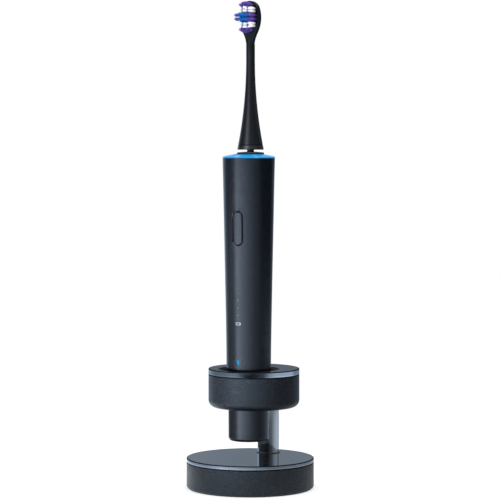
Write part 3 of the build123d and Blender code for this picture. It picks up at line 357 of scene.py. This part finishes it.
def satin_navy(sheet):
    """Handle: dark navy satin with a very fine sparkle and a trace of handling, dull under its foot."""
    _, _, height = sheet.axes()
    flakes = sheet.cells(0.16 * MM, out="Color")
    sparkle = sheet.rise(sheet.node("SeparateXYZ", sockets={0: flakes}), 0.90, 1.0)
    cloud = sheet.noise(14 * MM, 3.0)
    fine = sheet.noise(0.22 * MM, 2.0)
    body = sheet.tint((0.0015, 0.0021, 0.0036), cloud, 0.10)
    return {
        "Base Color": sheet.mix(sparkle * 0.5, body, (0.032, 0.038, 0.050, 1)),
        "Roughness": 0.12 + 0.03 * cloud + 0.03 * fine,
        "IOR": 1.52,
        "Specular Tint": NAVY_SHEEN,
        "Normal": sheet.bump(fine, 0.004 * MM, 0.6),
        "Dull": 1 - sheet.rise(height, *(HANDLE_FOOT_Z + rise for rise in FOOT_DULL)),
    }


def leather_grain(shine):
    """Base and cradle walls: moulded in a fine pebbled leather grain, with painted shade in the crevices
    between pebbles.
    """

    def paint(sheet):
        pebbles = sheet.rise(sheet.cells(1.05 * MM, "DISTANCE_TO_EDGE"), 0.02, 0.34)
        folds = sheet.noise(0.75 * MM, 3.0)
        cloud = sheet.noise(9 * MM, 3.0)
        relief = 0.6 * pebbles + 0.4 * folds
        body = sheet.tint((0.0070, 0.0090, 0.0125), cloud, 0.12)
        return {
            # The crevices between the pebbles are painted darker: painted shade
            "Base Color": sheet.mix(pebbles, (0.003, 0.0036, 0.0050, 1), body),
            "Roughness": 0.30 + 0.10 * folds,
            "Specular IOR Level": shine,
            "Specular Tint": GRAIN_SHEEN,
            "Normal": sheet.bump(relief, 0.20 * MM, 0.8),
        }

    return paint


def mirror_black(node, band_height, band_colour, band_roughness):
    """A polished black lid with a dull black edge of painted shade, and a smoked metal band round its side
    below that, brighter at its foot as a painted highlight.
    """
    low, high = (Vector(corner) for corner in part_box(node))
    middle, reach, top = (low + high) / 2, (high.x - low.x) / 2, high.z
    foot = top - band_height

    def paint(sheet):
        x, y, height = sheet.axes()
        radius = ((x - middle.x) ** 2 + (y - middle.y) ** 2) ** 0.5
        haze = sheet.noise(11 * MM, 4.0)
        band = 1 - sheet.rise(height, *(top - drop for drop in LID_BLACK))
        # The dull black edge is painted shade
        edge = (1 - band) * sheet.rise(radius, *(reach - inset for inset in LID_EDGE_SHADE))
        seam = 1 - sheet.rise(height, *(foot + rise for rise in BAND_SEAM))
        # The brighter lip at the band's foot is a painted highlight
        lip = 1 - sheet.rise(height, *(foot + rise for rise in BAND_LIP_HIGHLIGHT))
        black = sheet.tint((0.0060, 0.0066, 0.0082), haze, 0.15)
        bright = [LIP_HIGHLIGHT_GAIN * channel for channel in band_colour]
        metal = sheet.mix(lip, (*band_colour, 1), (*bright, 1))
        return {
            "Base Color": sheet.mix(band, black, metal),
            "Metallic": band,
            "Roughness": (0.03 + 0.02 * haze) * (1 - band) + band_roughness * band,
            "IOR": 1.5,
            "Specular Tint": (0.88, 0.94, 1.0, 1),
            "Normal": sheet.bump(sheet.noise(5 * MM, 1.0), 0.010 * MM, 0.3),
            "Dull": sheet.maths("MAXIMUM", edge, seam),
        }

    return paint


def dark_chrome(sheet):
    """Post: dark polished metal with hair-fine lines drawn along it."""
    lines = sheet.noise(0.12 * MM, 2.0, stretch=(1, 1, 60))
    haze = sheet.noise(8 * MM, 3.0)
    return {
        "Base Color": sheet.tint((0.40, 0.43, 0.45), haze, 0.06),
        "Metallic": 1.0,
        "Roughness": 0.04 + 0.02 * lines + 0.01 * haze,
        "Normal": sheet.bump(lines, 0.002 * MM, 0.4),
    }


def moulded(colour, roughness=0.5, grain=0.3 * MM):
    """A plain moulded plastic or rubber: fine grain, slightly uneven."""

    def paint(sheet):
        fine = sheet.noise(grain, 3.0)
        cloud = sheet.noise(30 * grain, 2.0)
        return {
            "Base Color": sheet.tint(colour, cloud, 0.15),
            "Roughness": roughness - 0.06 + 0.12 * fine,
            "Normal": sheet.bump(fine, 0.03 * grain, 0.6),
        }

    return paint


def brush_black(shine, dull_heights, dull_share):
    """Brush head and stem: black with a little shine, duller above the given heights: painted shade on the
    neck, a dark seam on the stem ring.
    """

    def paint(sheet):
        _, _, height = sheet.axes()
        fine = sheet.noise(0.3 * MM, 3.0)
        cloud = sheet.noise(9 * MM, 2.0)
        return {
            "Base Color": sheet.tint((0.0032, 0.0033, 0.0038), cloud, 0.15),
            "Roughness": 0.22 + 0.08 * fine,
            "Specular IOR Level": shine,
            "Specular Tint": BRUSH_SHEEN,
            "Normal": sheet.bump(fine, 0.006 * MM, 0.5),
            # Above the heights: painted shade on the neck, a dark seam on the stem ring
            "Dull": dull_share * sheet.rise(height, *dull_heights),
        }

    return paint


def socket_black(sheet):
    """Lining of the cradle's well: black that gives back almost no light."""
    fine = sheet.noise(0.4 * MM, 3.0)
    return {
        "Base Color": sheet.tint((0.0030, 0.0034, 0.0040), sheet.noise(9 * MM), 0.2),
        "Roughness": 0.50 + 0.12 * fine,
        "Specular IOR Level": 0.02,
        "Normal": sheet.bump(fine, 0.010 * MM, 0.6),
    }


def turned_metal(colour, roughness=0.25):
    """A turned or drawn metal, with lines round it."""

    def paint(sheet):
        lines = sheet.noise(0.10 * MM, 2.0, stretch=(60, 60, 1))
        stain = sheet.noise(4 * MM, 3.0)
        return {
            "Base Color": sheet.tint(colour, stain, 0.12),
            "Metallic": 1.0,
            "Roughness": roughness + 0.15 * lines,
            "Normal": sheet.bump(lines, 0.004 * MM, 0.5),
        }

    return paint


def wound_copper(sheet):
    """Enamelled wire, layer beside layer, painted darker in the grooves between turns as shade."""
    _, _, height = sheet.axes()
    turns = sheet.maths("PINGPONG", height, WIRE_HALF_PITCH) / WIRE_HALF_PITCH
    sheen = sheet.noise(1.5 * MM, 3.0)
    wire = sheet.tint((0.72, 0.32, 0.14), sheen, 0.15)
    return {
        # Darker between the turns: painted shade in the grooves
        "Base Color": sheet.mix(turns, (0.30, 0.10, 0.03, 1), wire),
        "Metallic": 1.0,
        "Roughness": 0.28 + 0.15 * sheen,
        "Normal": sheet.bump(turns, 0.06 * MM),
    }


def circuit_board(sheet):
    """Green lacquer over copper tracks, with tinned pads."""
    tracks = sheet.rise(sheet.cells(2.2 * MM, "DISTANCE_TO_EDGE"), 0.10, 0.16)
    pads = 1 - sheet.rise(sheet.cells(2.8 * MM), 0.12, 0.16)
    lacquer = sheet.mix(tracks, (0.035, 0.20, 0.075, 1), (0.012, 0.110, 0.045, 1))
    return {
        "Base Color": sheet.mix(pads, lacquer, (0.62, 0.60, 0.54, 1)),
        "Metallic": pads,
        "Roughness": 0.30 + 0.12 * sheet.noise(0.6 * MM),
        "Normal": sheet.bump(tracks, 0.03 * MM, 0.6),
    }


def lit_blue_ring(sheet):
    """Light ring: clear blue, brightest over the lamps below it, black inside and at its foot."""
    x, y, height = sheet.axes()
    back = y - (RING_LOW.y + RING_HIGH.y) / 2
    bearing = sheet.maths("ARCTAN2", x, back)
    lamps = (0.5 + 0.5 * sheet.maths("COSINE", RING_LAMPS * bearing)) ** RING_LAMP_SHARPNESS
    lit = sheet.rise(height, *(RING_FOOT_Z + rise for rise in RING_LIT))
    cloud = sheet.noise(3 * MM, 2.0)
    radius = (x * x + back * back) ** 0.5
    blue = sheet.mix(cloud, (0.004, 0.250, 0.58, 1), (0.012, 0.305, 0.66, 1))
    glow = sheet.mix(0.45 * lamps, blue, (0.14, 0.45, 0.76, 1))
    return {
        "Base Color": (0.002, 0.020, 0.055, 1),
        "Roughness": 0.12 + 0.05 * cloud,
        "Specular IOR Level": 0.12,
        "Emission Color": sheet.mix(lit, (0.001, 0.006, 0.012, 1), glow),
        "Emission Strength": 1.0,
        "Dull": 1 - sheet.rise(radius, RING_BLACK_R - RING_BLACK_SOFT, RING_BLACK_R),
    }


def lit_status(sheet):
    """Status light: a clear blue window, lit from behind."""
    cloud = sheet.noise(0.8 * MM, 2.0)
    return {
        "Base Color": (0.004, 0.05, 0.16, 1),
        "Roughness": 0.15 + 0.08 * cloud,
        "Emission Color": sheet.mix(cloud, (0.002, 0.27, 0.52, 1), (0.006, 0.33, 0.62, 1)),
        "Emission Strength": 1.0,
        "Specular IOR Level": 0.0,
    }


def charge_mark(sheet):
    """Charge light: a small battery outline, lit grey in a smoked window."""
    x, _, z = sheet.axes()
    across, up = abs(x - CHARGE_CENTRE.x), abs(z - CHARGE_CENTRE.z)
    side = sheet.maths("MAXIMUM", across - MARK_HALF_WIDTH, 0.0)
    top = sheet.maths("MAXIMUM", up - MARK_HALF_HEIGHT, 0.0)
    outline = abs((side * side + top * top) ** 0.5 - MARK_CORNER)
    drawn = 1 - sheet.rise(outline, 0.6 * MARK_LINE, 1.2 * MARK_LINE)
    cap_across = abs(x - CHARGE_CENTRE.x - MARK_CAP_X) - MARK_CAP_HALF_WIDTH
    cap_outside = sheet.maths("MAXIMUM", cap_across, up - MARK_CAP_HALF_HEIGHT)
    cap = 1 - sheet.rise(cap_outside, 0.0, MARK_CAP_SOFT)
    mark = sheet.maths("MAXIMUM", drawn, cap)
    smoke = sheet.tint((0.0046, 0.0057, 0.0088), sheet.noise(2 * MM), 0.1)
    return {
        "Base Color": sheet.mix(mark, smoke, (0.42, 0.44, 0.47, 1)),
        "Roughness": 0.26 + 0.05 * sheet.noise(0.3 * MM),
        "Emission Color": sheet.mix(mark, (0, 0, 0, 1), (0.20, 0.21, 0.22, 1)),
        "Emission Strength": 1.0,
    }


def filament(root, shaft, tip, length):
    """Nylon bristles: darker at the root and paler to the tip as painted shade and light, each strand a
    little different, with a faint painted glow.
    """

    def paint(sheet):
        _, y, _ = sheet.axes()
        along = sheet.rise(FACE_Y - y, 0.0, length)
        strand = sheet.node("NewGeometry", out="Random Per Island")
        # Darker towards the root and paler towards the tip: painted shade and light along each strand
        lower = sheet.mix(sheet.rise(along, 0.0, 0.5), (*root, 1), (*shaft, 1))
        colour = sheet.mix(sheet.rise(along, 0.6, 1.0), lower, (*tip, 1))
        return {
            "Base Color": sheet.mix(0.6 * strand, colour, (*(0.5 * channel for channel in shaft), 1)),
            "Roughness": 0.32 + 0.15 * strand,
            "IOR": 1.53,
            # The nylon glows faintly in its own colour: painted light
            "Emission Color": colour,
            "Emission Strength": NYLON_PAINTED_GLOW,
        }

    return paint


# Finishes of single nodes, and of every other node by its slot
NODE_FINISHES = {
    "drive_shaft": turned_metal((0.045, 0.046, 0.050), 0.40),
    "cradle_top_ring": mirror_black("cradle_top_ring", CRADLE_BAND_HEIGHT, (0.42, 0.475, 0.545), 0.02),
    "post_collar": moulded((0.006, 0.008, 0.009), 0.45),
    "cradle_shell": leather_grain(0.33),
    "stem_ring": brush_black(0.5, STEM_SEAM_HEIGHTS, 1.0),
}
FINISHES = {
    "handle_plastic": satin_navy,
    "grain_plastic": leather_grain(0.5),
    "gloss_top": mirror_black("base_top_plate", BASE_BAND_HEIGHT, (0.210, 0.242, 0.295), 0.15),
    "dark_chrome": dark_chrome,
    "black_rubber": moulded((0.010, 0.010, 0.011), 0.62),
    "socket_plastic": socket_black,
    "light_blue": lit_blue_ring,
    "status_light": lit_status,
    "charge_light": charge_mark,
    "mode_light": moulded((0.014, 0.016, 0.020), 0.3, 0.2 * MM),
    "brush_plastic": brush_black(0.25, NECK_SHADE_HEIGHTS, 0.72),
    "bristle_white": filament((0.62, 0.62, 0.64), (0.88, 0.87, 0.85), (0.95, 0.93, 0.91), WHITE_LENGTH),
    "bristle_blue": filament((0.004, 0.03, 0.16), (0.005, 0.105, 0.38), (0.014, 0.19, 0.54), MIDDLE_LENGTH),
    "bristle_purple": filament((0.05, 0.02, 0.20), (0.120, 0.055, 0.36), (0.175, 0.095, 0.42), SIDE_LENGTH),
    "steel": turned_metal((0.55, 0.55, 0.56)),
    "ballast_iron": turned_metal((0.10, 0.10, 0.10), 0.5),
    "bronze": turned_metal((0.55, 0.36, 0.16), 0.35),
    "copper": wound_copper,
    "ferrite": moulded((0.06, 0.06, 0.065), 0.7),
    "magnet": turned_metal((0.50, 0.50, 0.52), 0.18),
    "circuit_green": circuit_board,
    "component_black": moulded((0.03, 0.03, 0.032), 0.45),
    "lamp_clear": moulded((0.85, 0.87, 0.80), 0.15),
    "cell_wrap": moulded((0.05, 0.22, 0.30), 0.3, 0.6 * MM),
    "frame_plastic": moulded((0.55, 0.55, 0.53), 0.45),
}


def make_finish(name, paint):
    """A material from its paint; where the paint has a dull part, that is plain black, whether real black
    or painted shade.
    """
    material = bpy.data.materials.new(name)
    material.use_nodes = True
    sheet = Sheet(material.node_tree)
    sockets = paint(sheet)
    dull = sockets.pop("Dull", None)
    shader = sheet.node("BsdfPrincipled", sockets=sockets, out="BSDF")
    if dull:
        dark = sheet.node("BsdfDiffuse", sockets={"Color": DULL_BLACK})
        shader = sheet.node("MixShader", sockets={0: dull, 1: shader, 2: dark})
    sheet.node("OutputMaterial", sockets={"Surface": shader})
    return material


finishes = {slot: make_finish(slot, paint) for slot, paint in FINISHES.items()}
for part in frame["record"]["subparts"]:
    finish = finishes[part["material_slot"]]
    if part["node"] in NODE_FINISHES:
        finish = make_finish(part["node"], NODE_FINISHES[part["node"]])
    for material_slot in nodes[part["node"]].material_slots:
        material_slot.material = finish


def add_piece(name, points, faces, slot, body="brush_head"):
    """A new smooth mesh piece that rides on the body and takes the slot's finish."""
    mesh = bpy.data.meshes.new(name)
    mesh.from_pydata(points, [], faces)
    mesh.polygons.foreach_set("use_smooth", [True] * len(mesh.polygons))
    mesh.materials.append(finishes[slot])
    piece = bpy.data.objects.new(name, mesh)
    bpy.context.scene.collection.objects.link(piece)
    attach(piece, body)
    return piece


# Bristles: tufts as (across, up) from the middle of the head, in mm
END_TUFTS = ((-2.6, 6.75), (-1.3, 7.35), (0, 7.55), (1.3, 7.35), (2.6, 6.75))
WHITE_COLUMNS = (-3.6, -2.6, -0.5, 0.5, 2.6, 3.6)
# Rows of white tufts: how high they stand in the middle, and how that changes outwards
WHITE_ROWS = ((3.45, -0.06), (5.2, -0.14))
WHITE_TUFTS = tuple((x, z + change * abs(x)) for z, change in WHITE_ROWS for x in WHITE_COLUMNS)
SIDE_TUFTS = ((3.25, 1.05), (4.45, 1.05), (3.25, -1.05), (4.45, -1.05))
MIDDLE_TUFTS = tuple((x, z) for z in (1.1, -1.1) for x in (-1.95, -0.65, 0.65, 1.95))
CHANNEL_TUFTS = tuple((x, z) for z in (2.8, 3.8, 4.8, -2.8, -3.8, -4.8) for x in (-1.55, 1.55))
# One strand, with its rings as (share of the length, share of the radius), sunk into the face
STRAND_R = 0.078 * MM
STRAND_SIDES = 5
STRAND_RINGS = ((0.0, 1.0), (0.45, 1.0), (0.85, 0.92), (0.96, 0.66), (1.0, 0.22))
STRAND_DEPTH = 0.3 * MM
# How unevenly strands and tufts lean, how much tufts lean outwards for each metre from the middle of
# the head, and how uneven the tips are
STRAND_STRAY = 0.022
TUFT_STRAY = 0.012
TUFT_FAN = 7.0
TIP_SPREAD = 0.12 * MM
GOLDEN_ANGLE = math.pi * (3 - math.sqrt(5))
# A kind of tuft. Its outer strands are shorter by the point, and lean out by the splay
Tuft = namedtuple("Tuft", "radius strands length point splay")
END_TUFT = Tuft(0.50 * MM, 50, END_LENGTH, 1.2 * MM, 0.10)
WHITE_TUFT = Tuft(0.56 * MM, 46, WHITE_LENGTH, 0.25 * MM, 0.025)
SIDE_TUFT = Tuft(0.43 * MM, 56, SIDE_LENGTH, 2.8 * MM, 0.085)
MIDDLE_TUFT = Tuft(0.50 * MM, 60, MIDDLE_LENGTH, 1.5 * MM, 0.085)
CHANNEL_TUFT = Tuft(0.24 * MM, 10, CHANNEL_LENGTH, 0.2 * MM, 0.010)


def add_strand(points, faces, foot, run, radius):
    """One tapered filament with a rounded end, from its foot along its run."""
    first = len(points)
    for share, size in STRAND_RINGS:
        for i in range(STRAND_SIDES):
            turn = 2 * math.pi * i / STRAND_SIDES
            out = Vector((math.cos(turn), 0.0, math.sin(turn))) * radius * size
            points.append(foot + run * share + out)
    for ring in range(len(STRAND_RINGS) - 1):
        low = first + ring * STRAND_SIDES
        for i in range(STRAND_SIDES):
            j = (i + 1) % STRAND_SIDES
            faces.append((low + i, low + j, low + STRAND_SIDES + j, low + STRAND_SIDES + i))
    faces.append(tuple(range(len(points) - STRAND_SIDES, len(points))))
    faces.append(tuple(range(first + STRAND_SIDES - 1, first - 1, -1)))


def stray(draw, size):
    """A small sideways lean, drawn at random."""
    return Vector((draw.gauss(0, size), 0.0, draw.gauss(0, size)))


def add_bristles(node, slot, *fields):
    """The bristles that stand in for one node: tufts of each kind, at their places."""
    draw = random.Random(node)
    points, faces = [], []
    for tuft, places in fields:
        for across, up in places:
            place = Vector((across * MM, 0.0, up * MM))
            tuft_lean = place * TUFT_FAN + stray(draw, TUFT_STRAY)
            for i in range(tuft.strands):
                share = math.sqrt((i + 0.5) / tuft.strands)
                turn = i * GOLDEN_ANGLE
                out = Vector((math.cos(turn), 0.0, math.sin(turn)))
                foot = HEAD_CENTRE + place + out * tuft.radius * share
                foot.y = FACE_Y + STRAND_DEPTH
                uneven = draw.uniform(-1, 1) * TIP_SPREAD
                reach = STRAND_DEPTH + tuft.length - tuft.point * share**2 + uneven
                lean = tuft_lean + out * tuft.splay * share + stray(draw, STRAND_STRAY)
                add_strand(points, faces, foot, (Vector((0, -1, 0)) + lean) * reach, STRAND_R)
    piece = add_piece("tufts_" + node, points, faces, slot)
    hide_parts(node)


def mirrored(tufts, across=1, up=1):
    """The tufts on the other side of the head, or at its other end."""
    return tuple((across * x, up * z) for x, z in tufts)


# Each node of bristles, its slot, and its tufts
BRISTLES = (
    ("top_end_bristles", "bristle_purple", (END_TUFT, END_TUFTS)),
    ("bottom_end_bristles", "bristle_purple", (END_TUFT, mirrored(END_TUFTS, up=-1))),
    ("upper_white_bristles", "bristle_white", (WHITE_TUFT, WHITE_TUFTS)),
    ("lower_white_bristles", "bristle_white", (WHITE_TUFT, mirrored(WHITE_TUFTS, up=-1))),
    ("right_side_bristles", "bristle_purple", (SIDE_TUFT, SIDE_TUFTS)),
    ("left_side_bristles", "bristle_purple", (SIDE_TUFT, mirrored(SIDE_TUFTS, across=-1))),
    ("middle_bristles", "bristle_blue", (MIDDLE_TUFT, MIDDLE_TUFTS), (CHANNEL_TUFT, CHANNEL_TUFTS)),
)
for bristles in BRISTLES:
    add_bristles(*bristles)

# Face of the head: the plate that the tufts are set in, with a raised rim round each larger tuft
PLATE_HALF_WIDTH = 5.15 * MM
PLATE_HALF_LENGTH = 8.25 * MM
PLATE_END_R = 4.55 * MM
PLATE_POINTS = 72
PLATE_BEVEL = 0.12 * MM
PLATE_BACK_GAP = 0.02 * MM
RIM_R = 0.72 * MM
RIM_W = 0.10 * MM
RIM_SIDES = 20
# The rim's section, as (out from its middle, back from the face)
RIM_SECTION = (
    (-RIM_W, 0.3 * RIM_W),
    (-RIM_W / 2, -RIM_W),
    (RIM_W / 2, -RIM_W),
    (RIM_W, 0.3 * RIM_W),
)
RIMMED_TUFTS = [place for _, _, (_, places), *_ in BRISTLES for place in places]


def plate_outline(inset=0.0):
    """Points round the oval of four tangent arcs, drawn in by the inset."""
    a, b, end_r = (size - inset for size in (PLATE_HALF_WIDTH, PLATE_HALF_LENGTH, PLATE_END_R))
    end_c = b - end_r
    side_r = (end_c**2 + a**2 - end_r**2) / (2 * (a - end_r))
    side_c = side_r - a
    outline = []
    for i in range(PLATE_POINTS):
        turn = 2 * math.pi * i / PLATE_POINTS
        x, z = math.cos(turn), math.sin(turn)
        if abs(z) * side_c > abs(x) * end_c:
            reach = end_c * abs(z) + math.sqrt(end_r**2 - (end_c * x) ** 2)
        else:
            reach = -side_c * abs(x) + math.sqrt(side_r**2 - (side_c * z) ** 2)
        outline.append(Vector((x * reach, 0.0, z * reach)))
    return outline


def add_loops(points, faces, loops, closed):
    """A skin over loops of equally many points, closed into a ring or capped at both ends."""
    first, count = len(points), len(loops[0])
    for loop in loops:
        points.extend(loop)
    for k in range(len(loops) if closed else len(loops) - 1):
        low, high = first + k * count, first + (k + 1) % len(loops) * count
        for i in range(count):
            j = (i + 1) % count
            faces.append((low + i, high + i, high + j, low + j))
    if not closed:
        faces.append(tuple(range(first, first + count)))
        faces.append(tuple(range(len(points) - 1, len(points) - 1 - count, -1)))


def add_head_face():
    """The plate, bevelled at its front edge, and the rims on it."""
    points, faces = [], []
    middle = Vector((HEAD_CENTRE.x, FACE_Y, HEAD_CENTRE.z))
    back = Vector((0, POCKET_DEPTH - PLATE_BACK_GAP, 0))
    bevel = Vector((0, PLATE_BEVEL, 0))
    loops = [
        [middle + back + p for p in plate_outline()],
        [middle + bevel + p for p in plate_outline()],
        [middle + p for p in plate_outline(PLATE_BEVEL)],
    ]
    add_loops(points, faces, loops, closed=False)
    for across, up in RIMMED_TUFTS:
        centre = middle + Vector((across * MM, 0, up * MM))
        rim = []
        for side, lift in RIM_SECTION:
            loop = []
            for i in range(RIM_SIDES):
                turn = 2 * math.pi * i / RIM_SIDES
                out = Vector((math.cos(turn), 0.0, math.sin(turn))) * (RIM_R + side)
                loop.append(centre + out + Vector((0, lift, 0)))
            rim.append(loop)
        add_loops(points, faces, rim, closed=True)
    add_piece("head_face", points, faces, "brush_plastic")


add_head_face()


def add_table():
    """White table that holds the shadow and fades out into the white behind it."""
    half = TABLE_HALF_WIDTH
    corners = ((-half, -half), (half, -half), (half, half), (-half, half))
    mesh = bpy.data.meshes.new("table")
    mesh.from_pydata([(x, y, -TABLE_DROP) for x, y in corners], [], [(0, 1, 2, 3)])
    material = bpy.data.materials.new("table_white")
    material.use_nodes = True
    material.cycles.emission_sampling = "NONE"
    sheet = Sheet(material.node_tree)
    x, y, _ = sheet.axes()
    radius = (x * x + y * y) ** 0.5
    white = sheet.node("BsdfDiffuse", sockets={"Color": TABLE_COLOUR})
    seen = sheet.node("LightPath", out="Is Camera Ray")
    mirrored_in = sheet.node("LightPath", out="Is Glossy Ray")
    through = sheet.node("LightPath", out="Is Transmission Ray")
    mirrored_fade = mirrored_in * sheet.rise(radius, *TABLE_MIRRORED_FADE)
    gone = sheet.maths("MAXIMUM", sheet.rise(radius, *TABLE_FADE), mirrored_fade)
    left = x * TO_LEFT.x + y * TO_LEFT.y
    shown = TABLE_MIRRORED * sheet.rise(left, *TABLE_MIRRORED_LEFT) * mirrored_in
    tint = sheet.mix(mirrored_in, (1, 1, 1, 1), TABLE_MIRRORED_TINT)
    strength = TABLE_GLOW * (seen + through) + shown
    glow = sheet.node("Emission", sockets={"Color": tint, "Strength": strength})
    both = sheet.node("AddShader", sockets={0: white, 1: glow})
    clear = sheet.node("BsdfTransparent")
    top = sheet.node("MixShader", sockets={0: gone, 1: both, 2: clear})
    sheet.node("OutputMaterial", sockets={"Surface": top})
    mesh.materials.append(material)
    table = bpy.data.objects.new("table", mesh)
    bpy.context.scene.collection.objects.link(table)


def light_the_studio():
    """White behind everything, and a wide soft light that fades from the left round to the right."""
    world = bpy.data.worlds.new("studio")
    world.use_nodes = True
    bpy.context.scene.world = world
    sheet = Sheet(world.node_tree)
    direction = sheet.node("TexCoord", out="Generated")
    front = sheet.node("VectorMath", {"operation": "DOT_PRODUCT"}, {0: direction, 1: TO_CAMERA}, "Value")
    left = sheet.node("VectorMath", {"operation": "DOT_PRODUCT"}, {0: direction, 1: TO_LEFT}, "Value")
    height = sheet.node("SeparateXYZ", sockets={0: direction}, out="Z")
    turn = sheet.maths("ARCTAN2", left, front) / (2 * math.pi) + 0.5

    def light_from(levels):
        brightest = max(level for _, level in levels)
        stops = [(degrees / 360 + 0.5, (*[level / brightest] * 3, 1.0)) for degrees, level in levels]
        return brightest * sheet.node("ValToRGB", {"stops": stops}, {"Fac": turn}, "Color")

    def between(low, high, soft):
        return sheet.rise(height, low, low + soft) * (1 - sheet.rise(height, high - soft, high))

    behind = 1 - sheet.rise(front, *BEHIND)
    lift = 1 + behind * sheet.rise(height, *BACK_LIFT_HEIGHTS)
    upper = sheet.rise(height, *LOWER_HEIGHTS)
    level = upper * light_from(LIGHT_ROUND) + (1 - upper) * light_from(LOWER_ROUND)
    deep = 1 + DEEP_LIFT * (1 - sheet.rise(height, *DEEP_HEIGHTS))
    level = level * lift * deep * (1 - sheet.rise(height, *FADE_HEIGHTS))
    for share, here in (
        (between(*CRADLE_BAND_HEIGHTS, BAND_SOFT), light_from(CRADLE_BAND_ROUND)),
        (between(*POST_HEIGHTS, BAND_SOFT), light_from(POST_ROUND)),
        (between(*BETWEEN_HEIGHTS, BETWEEN_SOFT) * (1 - behind), light_from(POST_ROUND)),
        (between(*STEM_HEIGHTS, STEM_SOFT) * (1 - behind), light_from(STEM_ROUND)),
    ):
        level = level * (1 - share) + here * share
    level = level + OVERHEAD_LIGHT * sheet.rise(height, *OVERHEAD_HEIGHTS)
    low_tint = sheet.mix(behind, LOW_TINT, BACK_TINT)
    tint = sheet.mix(sheet.rise(height, *OVERHEAD_TINT_HEIGHTS), low_tint, OVERHEAD_TINT)
    by_camera = sheet.node("LightPath", out="Is Camera Ray")
    through = sheet.node("LightPath", out="Is Transmission Ray")
    seen = by_camera + through
    colour = sheet.mix(seen, tint, (1, 1, 1, 1))
    light = sheet.node("Background", sockets={"Color": colour, "Strength": level * (1 - seen) + seen})
    sheet.node("OutputWorld", sockets={"Surface": light})


def place_camera():
    """The camera of the photograph's view."""
    camera = bpy.data.cameras.new("photo_view")
    camera.sensor_width = SENSOR_WIDTH_MM
    aside = TO_LEFT * AIM_LEFT
    aim = aside + Vector((0.0, 0.0, AIM_HEIGHT))
    place = aside + TO_CAMERA * CAMERA_DISTANCE + Vector((0.0, 0.0, CAMERA_HEIGHT))
    camera.lens = SENSOR_WIDTH_MM * (place - aim).length / FRAME_WIDTH_AT_AIM
    camera.clip_start = NEAREST_SEEN
    view = bpy.data.objects.new("photo_view", camera)
    view.location = place
    view.rotation_euler = (aim - place).to_track_quat("-Z", "Y").to_euler()
    bpy.context.scene.collection.objects.link(view)
    bpy.context.scene.camera = view


add_table()
light_the_studio()
place_camera()
bpy.context.scene.view_settings.view_transform = "Standard"
